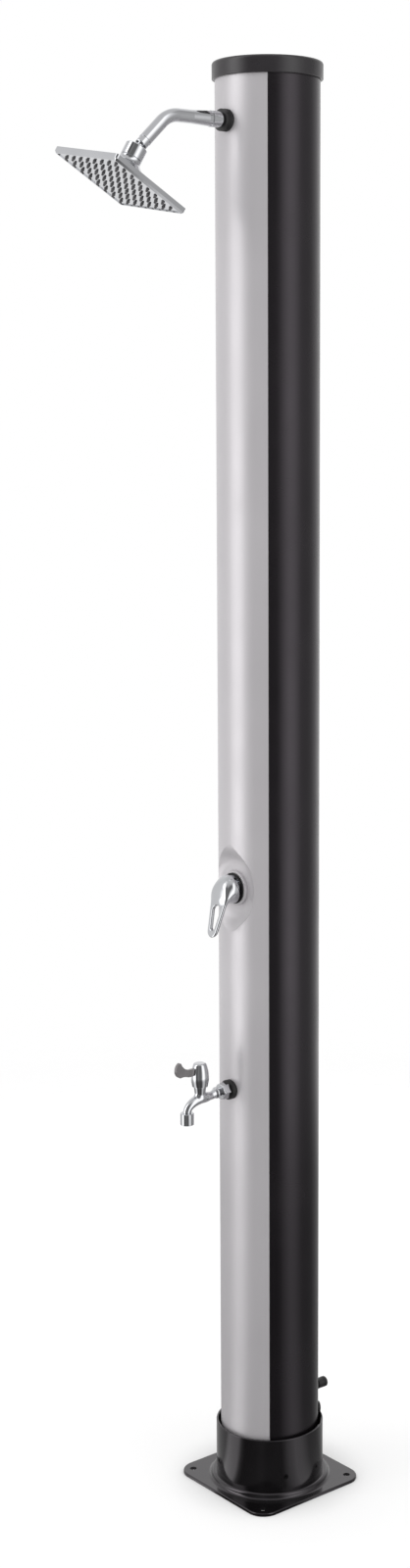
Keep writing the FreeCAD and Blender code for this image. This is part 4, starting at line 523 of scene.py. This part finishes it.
# the mixer's lever, from its pivot on the mixer's axis
LEVER_HUB, LEVER_RIM = 23, 23.4
RIM_OUT, RIM_SLANT = 11.9, 0.172               # the skirt stands back more below, to clear when it lifts
RIM_FLARE = 16                 # the hub widens to its rim over this length
FACE_OUT, FACE_SLOPE = 32, 0.285
FACE_CROWN, CROWN_SPREAD = 3.5, 26.45          # the hub's face bulges this much, out to this radius
HUB_ROUND, HUB_FILLET, RIM_EDGE = 11, 7, 1
BLADE_DROP, BLADE_ROOT, BLADE_TIP, BLADE_RUN = 9, 19.2, 11.2, 52
BLADE_THICK, FACE_EDGE, BLADE_EDGE = 6, 2.6, 2.4
LOOP_DROP, LOOP_ROOT, LOOP_END, LOOP_RUN, LOOP_EDGE = 31.5, 8.6, 4.5, 25.5, 1.8
CAVITY, SQUARE, SQUARE_OUT = 17, 4.05, 30.1    # ball cavity's radius, spindle square's half width and end
GRUB_OUT, GRUB_HOLE, GRUB_TOP = 24, 2.1, -4    # the grub screw's hole below the square
HOLE_EDGE = 0.3
LEVER_BOX = (-25, -75, 5), (25, 25, 56)


def lever_shape(across, up, out):
    """Signed distance of the lever: slanted hub and blade in one face, finger loop, ball cavity."""
    reach = np.hypot(across, up)
    crown = FACE_CROWN * np.clip(1 - (reach / CROWN_SPREAD) ** 2, 0, 1) ** 2
    face = (out - FACE_OUT + FACE_SLOPE * up) / math.hypot(1, FACE_SLOPE)
    rim = RIM_OUT + RIM_SLANT * up - out
    flank = reach - LEVER_HUB + (LEVER_HUB - LEVER_RIM) * np.clip(1 - (out - RIM_OUT) / RIM_FLARE, 0, 1)
    hub = rounded_edge(rounded_edge(face - crown, flank, HUB_ROUND), rim, RIM_EDGE)
    slab = rounded_edge(face, -face - BLADE_THICK, FACE_EDGE)
    drop = tapered(across, -up - BLADE_DROP, BLADE_ROOT, BLADE_TIP, BLADE_RUN)
    blade = rounded_edge(slab, drop, BLADE_EDGE)
    loop = tapered(across, -up - LOOP_DROP, LOOP_ROOT, LOOP_END, LOOP_RUN)
    lever = rounded_edge(filleted(hub, blade, HUB_FILLET), -loop, LOOP_EDGE)
    cavity = np.sqrt(reach ** 2 + out ** 2) - CAVITY
    square = np.maximum(np.maximum(np.abs(across), np.abs(up)) - SQUARE, out - SQUARE_OUT)
    grub = np.maximum(np.hypot(across, out - GRUB_OUT) - GRUB_HOLE, up - GRUB_TOP)
    return rounded_edge(lever, -np.minimum(np.minimum(cavity, square), grub), HOLE_EDGE)


def loop_lever(material):
    """Chrome plated lever of the mixer, cast in one: the blade flows into its hub."""
    piece = cast(lever_shape, LEVER_BOX, joint_place("lever_lift"), "loop_lever", material)
    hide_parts("mixer_lever")
    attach(piece, "mixer_lever")


# the foot tap's casting, from the post's axis at its inlet's height
TAIL_START, TAIL_RADIUS, TAIL_BORE = 54, 10.5, 6.5
TAP_WEB = 4                    # wall between the tail's bore and the hexagon's front face
HEX_START, HEX_END, HEX_HALF, HEX_EDGE = 87, 102, 11.5, 0.5
TURN_RADIUS, TURN_SLOPE, TURN_SCALE = 11.73, 0.6, 0.85     # the hexagon's front corners are turned off
BEAD_OUT, BEAD_CORE, BEAD_ROUND, BEAD_FILLET = 109.5, 5.7, 3.5, 1
NECK_RADIUS, THROAT_RADIUS = 7.5, 7.1
WAIST_OUT, WAIST_RADIUS, BARREL_SAG, BARREL_SWELL = 120, 6.4, 2.7, 1.9
STEM_OUT, STEM_FOOT, STEM_HEAD, STEM_TOP = 141.5, 7.8, 10, 17
STEM_EDGE, STEM_FILLET = 0.5, 4
CHAMBER_RADIUS, CHAMBER_FLOOR, FEED_RADIUS = 7.3, 3, 3
SPOUT_OUT, SPOUT_BEND, SPOUT_END, BORE_RADIUS = 167.5, 34, 21, 3.6
THREAD_RADIUS, THREAD_LENGTH = 6.1, 7
BAR_EDGE, BORE_EDGE = 0.4, 0.2
OVERLAP, OVERRUN = 1, 9        # how far joined bars reach into each other, and bores past an open end
NECK_STEPS, BARREL_STEPS, BEND_STEPS = 10, 12, 36
TAP_BOX = (-14, -30, 52), (15, 19, 176)


def eased(share):
    """A share of 0 to 1 with a soft start and end."""
    return share * share * (3 - 2 * share)


def tap_route():
    """Centre line of the barrel and the spout: (out, up, radius) from the bead to the spout's end."""
    bend_out, fall = SPOUT_OUT - SPOUT_BEND, SPOUT_END - BARREL_SAG
    neck = [n / NECK_STEPS for n in range(NECK_STEPS + 1)]
    barrel = [n / BARREL_STEPS for n in range(1, BARREL_STEPS + 1)]
    bend = [math.radians(90 * n / BEND_STEPS) for n in range(1, BEND_STEPS + 1)]
    return [
        (BEAD_OUT + (WAIST_OUT - BEAD_OUT) * share, -BARREL_SAG * eased(share),
         THROAT_RADIUS - (THROAT_RADIUS - WAIST_RADIUS) * eased(share)) for share in neck
    ] + [
        (WAIST_OUT + (bend_out - WAIST_OUT) * share, -BARREL_SAG,
         WAIST_RADIUS + BARREL_SWELL * eased(share)) for share in barrel
    ] + [
        (bend_out + SPOUT_BEND * math.sin(angle), -BARREL_SAG - fall * (1 - math.cos(angle)),
         WAIST_RADIUS + BARREL_SWELL * math.cos(angle) ** 2) for angle in bend
    ]


def along(route, across, up, out, radius=None):
    """Signed distance of a tube along a route, of its own radii or of one radius."""
    nearest = np.inf
    for (out_a, up_a, radius_a), (out_b, up_b, radius_b) in zip(route, route[1:]):
        run, rise = out_b - out_a, up_b - up_a
        share = np.clip(((out - out_a) * run + (up - up_a) * rise) / (run * run + rise * rise), 0, 1)
        gap = np.sqrt(across ** 2 + (out - out_a - share * run) ** 2 + (up - up_a - share * rise) ** 2)
        nearest = np.minimum(nearest, gap - (radius or radius_a + share * (radius_b - radius_a)))
    return nearest


def bar(radius, start, end, across, other, lengthwise):
    """Signed distance of a round bar between two places on its length, its end edges broken."""
    ends = np.maximum(start - lengthwise, lengthwise - end)
    return rounded_edge(np.hypot(across, other) - radius, ends, BAR_EDGE)


def tap_outside(route, across, up, out):
    """Signed distance of the tap's body without its bores."""
    height = np.abs(up)
    flats = np.maximum(height, math.cos(math.pi / 6) * np.abs(across) + height / 2) - HEX_HALF
    ends = np.maximum(HEX_START - out, out - HEX_END)
    turned = (np.hypot(across, up) + TURN_SLOPE * (out - HEX_END) - TURN_RADIUS) * TURN_SCALE
    hexagon = rounded_edge(rounded_edge(flats, ends, HEX_EDGE), turned, BAR_EDGE)
    bead = np.hypot(np.hypot(across, up) - BEAD_CORE, out - BEAD_OUT) - BEAD_ROUND
    neck = bar(NECK_RADIUS, HEX_END - 2 * OVERLAP, BEAD_OUT, across, up, out)
    tail = bar(TAIL_RADIUS, TAIL_START, HEX_START + OVERLAP, across, up, out)
    thread = bar(THREAD_RADIUS, -SPOUT_END - THREAD_LENGTH, OVERLAP - SPOUT_END, across, out - SPOUT_OUT, up)
    lean = (STEM_HEAD - STEM_FOOT) / STEM_TOP
    flank = np.hypot(across, out - STEM_OUT) - np.clip(STEM_FOOT + lean * up, STEM_FOOT, STEM_HEAD)
    stem = rounded_edge(flank / math.hypot(1, lean), np.maximum(-BARREL_SAG - up, up - STEM_TOP), STEM_EDGE)
    beaded = filleted(along(route, across, up, out), bead, BEAD_FILLET)
    casting = filleted(filleted(beaded, stem, STEM_FILLET), neck, BEAD_FILLET)
    return np.minimum(np.minimum(casting, hexagon), np.minimum(tail, thread))


def water_way(route, across, up, out):
    """Signed distance of the tap's bores: tail, feed, valve chamber and the spout's long bore."""
    below = [(SPOUT_OUT, -SPOUT_END, 0), (SPOUT_OUT, -SPOUT_END - THREAD_LENGTH - OVERRUN, 0)]
    spout = [point for point in route if point[0] > STEM_OUT] + below
    bores = along(spout, across, up, out, BORE_RADIUS)
    for bore in (
        bar(TAIL_BORE, TAIL_START - OVERRUN, HEX_END - TAP_WEB, across, up, out),
        bar(FEED_RADIUS, HEX_END - TAP_WEB - OVERLAP, STEM_OUT, across, up + BARREL_SAG, out),
        bar(FEED_RADIUS, -BARREL_SAG, CHAMBER_FLOOR + OVERLAP, across, out - STEM_OUT, up),
        bar(CHAMBER_RADIUS, CHAMBER_FLOOR, STEM_TOP + OVERRUN, across, out - STEM_OUT, up),
    ):
        bores = np.minimum(bores, bore)
    return bores


def tap_shape(across, up, out):
    """Signed distance of the tap's body: tail, hexagon, bead, sagging barrel, stem, spout and water way."""
    route = tap_route()
    return rounded_edge(tap_outside(route, across, up, out), -water_way(route, across, up, out), BORE_EDGE)


def cast_tap(material):
    """Chrome plated casting of the foot tap, in one from its tail to its spout."""
    inlet = (0, 0, joint_place("tap_handle_turn")[2])
    piece = cast(tap_shape, TAP_BOX, inlet, "cast_tap", material)
    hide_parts("tap_body")
    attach(piece, "post")


# ---- studio -----------------------------------------------------------------------------------------

FLOOR_RADIUS, FLOOR_SEGMENTS = 2.6, 96
FLOOR_FADE = 1.2               # the floor melts into the white background over this width


def floor(material):
    """A pale round floor that melts into the background."""
    ground = bmesh.new()
    bmesh.ops.create_circle(ground, cap_ends=True, segments=FLOOR_SEGMENTS, radius=FLOOR_RADIUS)
    mesh = bpy.data.meshes.new("floor")
    ground.to_mesh(mesh)
    ground.free()
    mesh.materials.append(material)
    linked(mesh, "floor")


# what a mirror sees round the post: degrees from the camera's azimuth, positive to its right; brightness
SURROUNDINGS = (
    (-180, 1.0), (-116, 0.85), (-92, 0.9), (-82, 2.6), (-60, 2.6), (-53, 0.5), (-46, 0.12), (-26, 0.18),
    (-14, 0.3), (-4, 0.18), (22, 0.2), (34, 1.1), (48, 1.9), (60, 1.6), (78, 0.55), (104, 0.4), (128, 0.7),
    (150, 1.0), (180, 1.0),
)
CEILING = 0.75                 # brightness straight above the post
CEILING_START, CEILING_FULL = 0.7, 0.92        # height of a direction, 1 straight up
FLOOR_PAINTED_REFLECTION = 0.42             # how brightly the floor glows with its surroundings for a mirror: a painted reflection
FLOOR_LIFT = 0.36              # what the paper's own light adds to it in the eye
PAINTED_SHADOW_REACH, PAINTED_SHADOW_DEPTH = 90 * MM, 2.0        # how far the painted shadow round the base spreads, and how dark


def bands(tree, direction):
    """The brightness of the surroundings in a direction, by its azimuth, and the direction's height."""
    split = add(tree, "ShaderNodeSeparateXYZ", {0: direction})
    azimuth = add(tree, "ShaderNodeMath", {0: split.outputs["Y"], 1: split.outputs["X"]}, operation="ARCTAN2")
    offset = add(tree, "ShaderNodeMath", {0: azimuth.outputs[0], 1: math.radians(CAMERA_AZIMUTH)},
                 operation="SUBTRACT")
    wrapped = add(tree, "ShaderNodeMath", {0: offset.outputs[0], 1: math.pi, 2: -math.pi}, operation="WRAP")
    around = add(tree, "ShaderNodeMapRange",
                 {"Value": wrapped.outputs[0], "From Min": -math.pi, "From Max": math.pi})
    ramp = add(tree, "ShaderNodeValToRGB", {0: around.outputs[0]})
    stops = ramp.color_ramp.elements
    while len(stops) < len(SURROUNDINGS):
        stops.new(0.5)
    for stop, (angle, bright) in zip(stops, SURROUNDINGS):
        stop.position = (angle + 180) / 360
        stop.color = (bright, bright, bright, 1)
    return ramp.outputs["Color"], split.outputs["Z"]


def white_paper():
    """Seamless white paper: it keeps shadows, shows as white with a painted shadow round the base, and fades out
    at its rim.

    In a mirror it shows a painted reflection: it glows with the surroundings, dimmed.
    """
    material, tree = blank_material("seamless_paper")
    path = add(tree, "ShaderNodeLightPath")
    place = add(tree, "ShaderNodeTexCoord")
    # painted shadow: near the post, ambient occlusion darkens the paper's glow in the eye
    open_sky = add(tree, "ShaderNodeAmbientOcclusion", {"Distance": PAINTED_SHADOW_REACH})
    painted_shadow = add(tree, "ShaderNodeMath", {0: open_sky.outputs["AO"], 1: PAINTED_SHADOW_DEPTH}, operation="POWER")
    seen_lift = add(tree, "ShaderNodeMath", {0: path.outputs["Is Camera Ray"], 1: FLOOR_LIFT},
                    operation="MULTIPLY")
    lift = add(tree, "ShaderNodeMath", {0: seen_lift.outputs[0], 1: painted_shadow.outputs[0]}, operation="MULTIPLY")
    paper = add(tree, "ShaderNodeBsdfDiffuse", {"Color": linear("#d6d6d6")})
    glow = add(tree, "ShaderNodeEmission", {"Strength": lift.outputs[0]})
    lit = add(tree, "ShaderNodeAddShader", {0: paper.outputs[0], 1: glow.outputs[0]})
    # painted reflection: to glossy rays the paper glows with the surroundings' bands instead of reflecting them
    seen, _ = bands(tree, place.outputs["Object"])
    painted_reflection_level = add(tree, "ShaderNodeMath", {0: seen, 1: FLOOR_PAINTED_REFLECTION}, operation="MULTIPLY")
    painted_reflection = add(tree, "ShaderNodeEmission", {"Strength": painted_reflection_level.outputs[0]})
    either = add(tree, "ShaderNodeMixShader",
                 {0: path.outputs["Is Glossy Ray"], 1: lit.outputs[0], 2: painted_reflection.outputs[0]})
    away = add(tree, "ShaderNodeVectorMath", {0: place.outputs["Object"]}, operation="LENGTH")
    fade = add(tree, "ShaderNodeMapRange", {
        "Value": away.outputs["Value"], "From Min": FLOOR_RADIUS - FLOOR_FADE, "From Max": FLOOR_RADIUS,
    }, interpolation_type="SMOOTHSTEP")
    clear = add(tree, "ShaderNodeBsdfTransparent")
    whole = add(tree, "ShaderNodeMixShader", {0: fade.outputs[0], 1: either.outputs[0], 2: clear.outputs[0]})
    add(tree, "ShaderNodeOutputMaterial", {"Surface": whole.outputs[0]})
    return material


def studio():
    """White backdrop behind the post, a dark room behind the camera and soft boxes on both sides.

    Eyes and matt surfaces see an even white; only gloss and metal see the boxes and the dark room.
    """
    world = bpy.data.worlds.new("studio")
    bpy.context.scene.world = world
    world.use_nodes = True
    tree = world.node_tree
    tree.nodes.clear()
    place = add(tree, "ShaderNodeTexCoord")
    sides, height = bands(tree, place.outputs["Generated"])
    above = add(tree, "ShaderNodeMapRange",
                {"Value": height, "From Min": CEILING_START, "From Max": CEILING_FULL},
                interpolation_type="SMOOTHSTEP")
    glow = add(tree, "ShaderNodeMix", {"Factor": above.outputs[0], 2: sides, 3: CEILING})
    path = add(tree, "ShaderNodeLightPath")
    even = add(tree, "ShaderNodeMath", {0: path.outputs["Is Camera Ray"], 1: path.outputs["Is Diffuse Ray"]},
               operation="MAXIMUM")
    strength = add(tree, "ShaderNodeMix", {"Factor": even.outputs[0], 2: glow.outputs[0], 3: 1.0})
    shown = add(tree, "ShaderNodeBackground", {"Color": linear("#ffffff"), "Strength": strength.outputs[0]})
    add(tree, "ShaderNodeOutputWorld", {"Surface": shown.outputs[0]})


camera()
studio()
floor(white_paper())
finishes = dress()
nozzle_field(finishes["silicone"])
collar_screws(finishes["screw_steel"])
loop_lever(finishes["chrome"])
cast_tap(finishes["chrome"])

scene = bpy.context.scene
scene.view_settings.view_transform = "Standard"
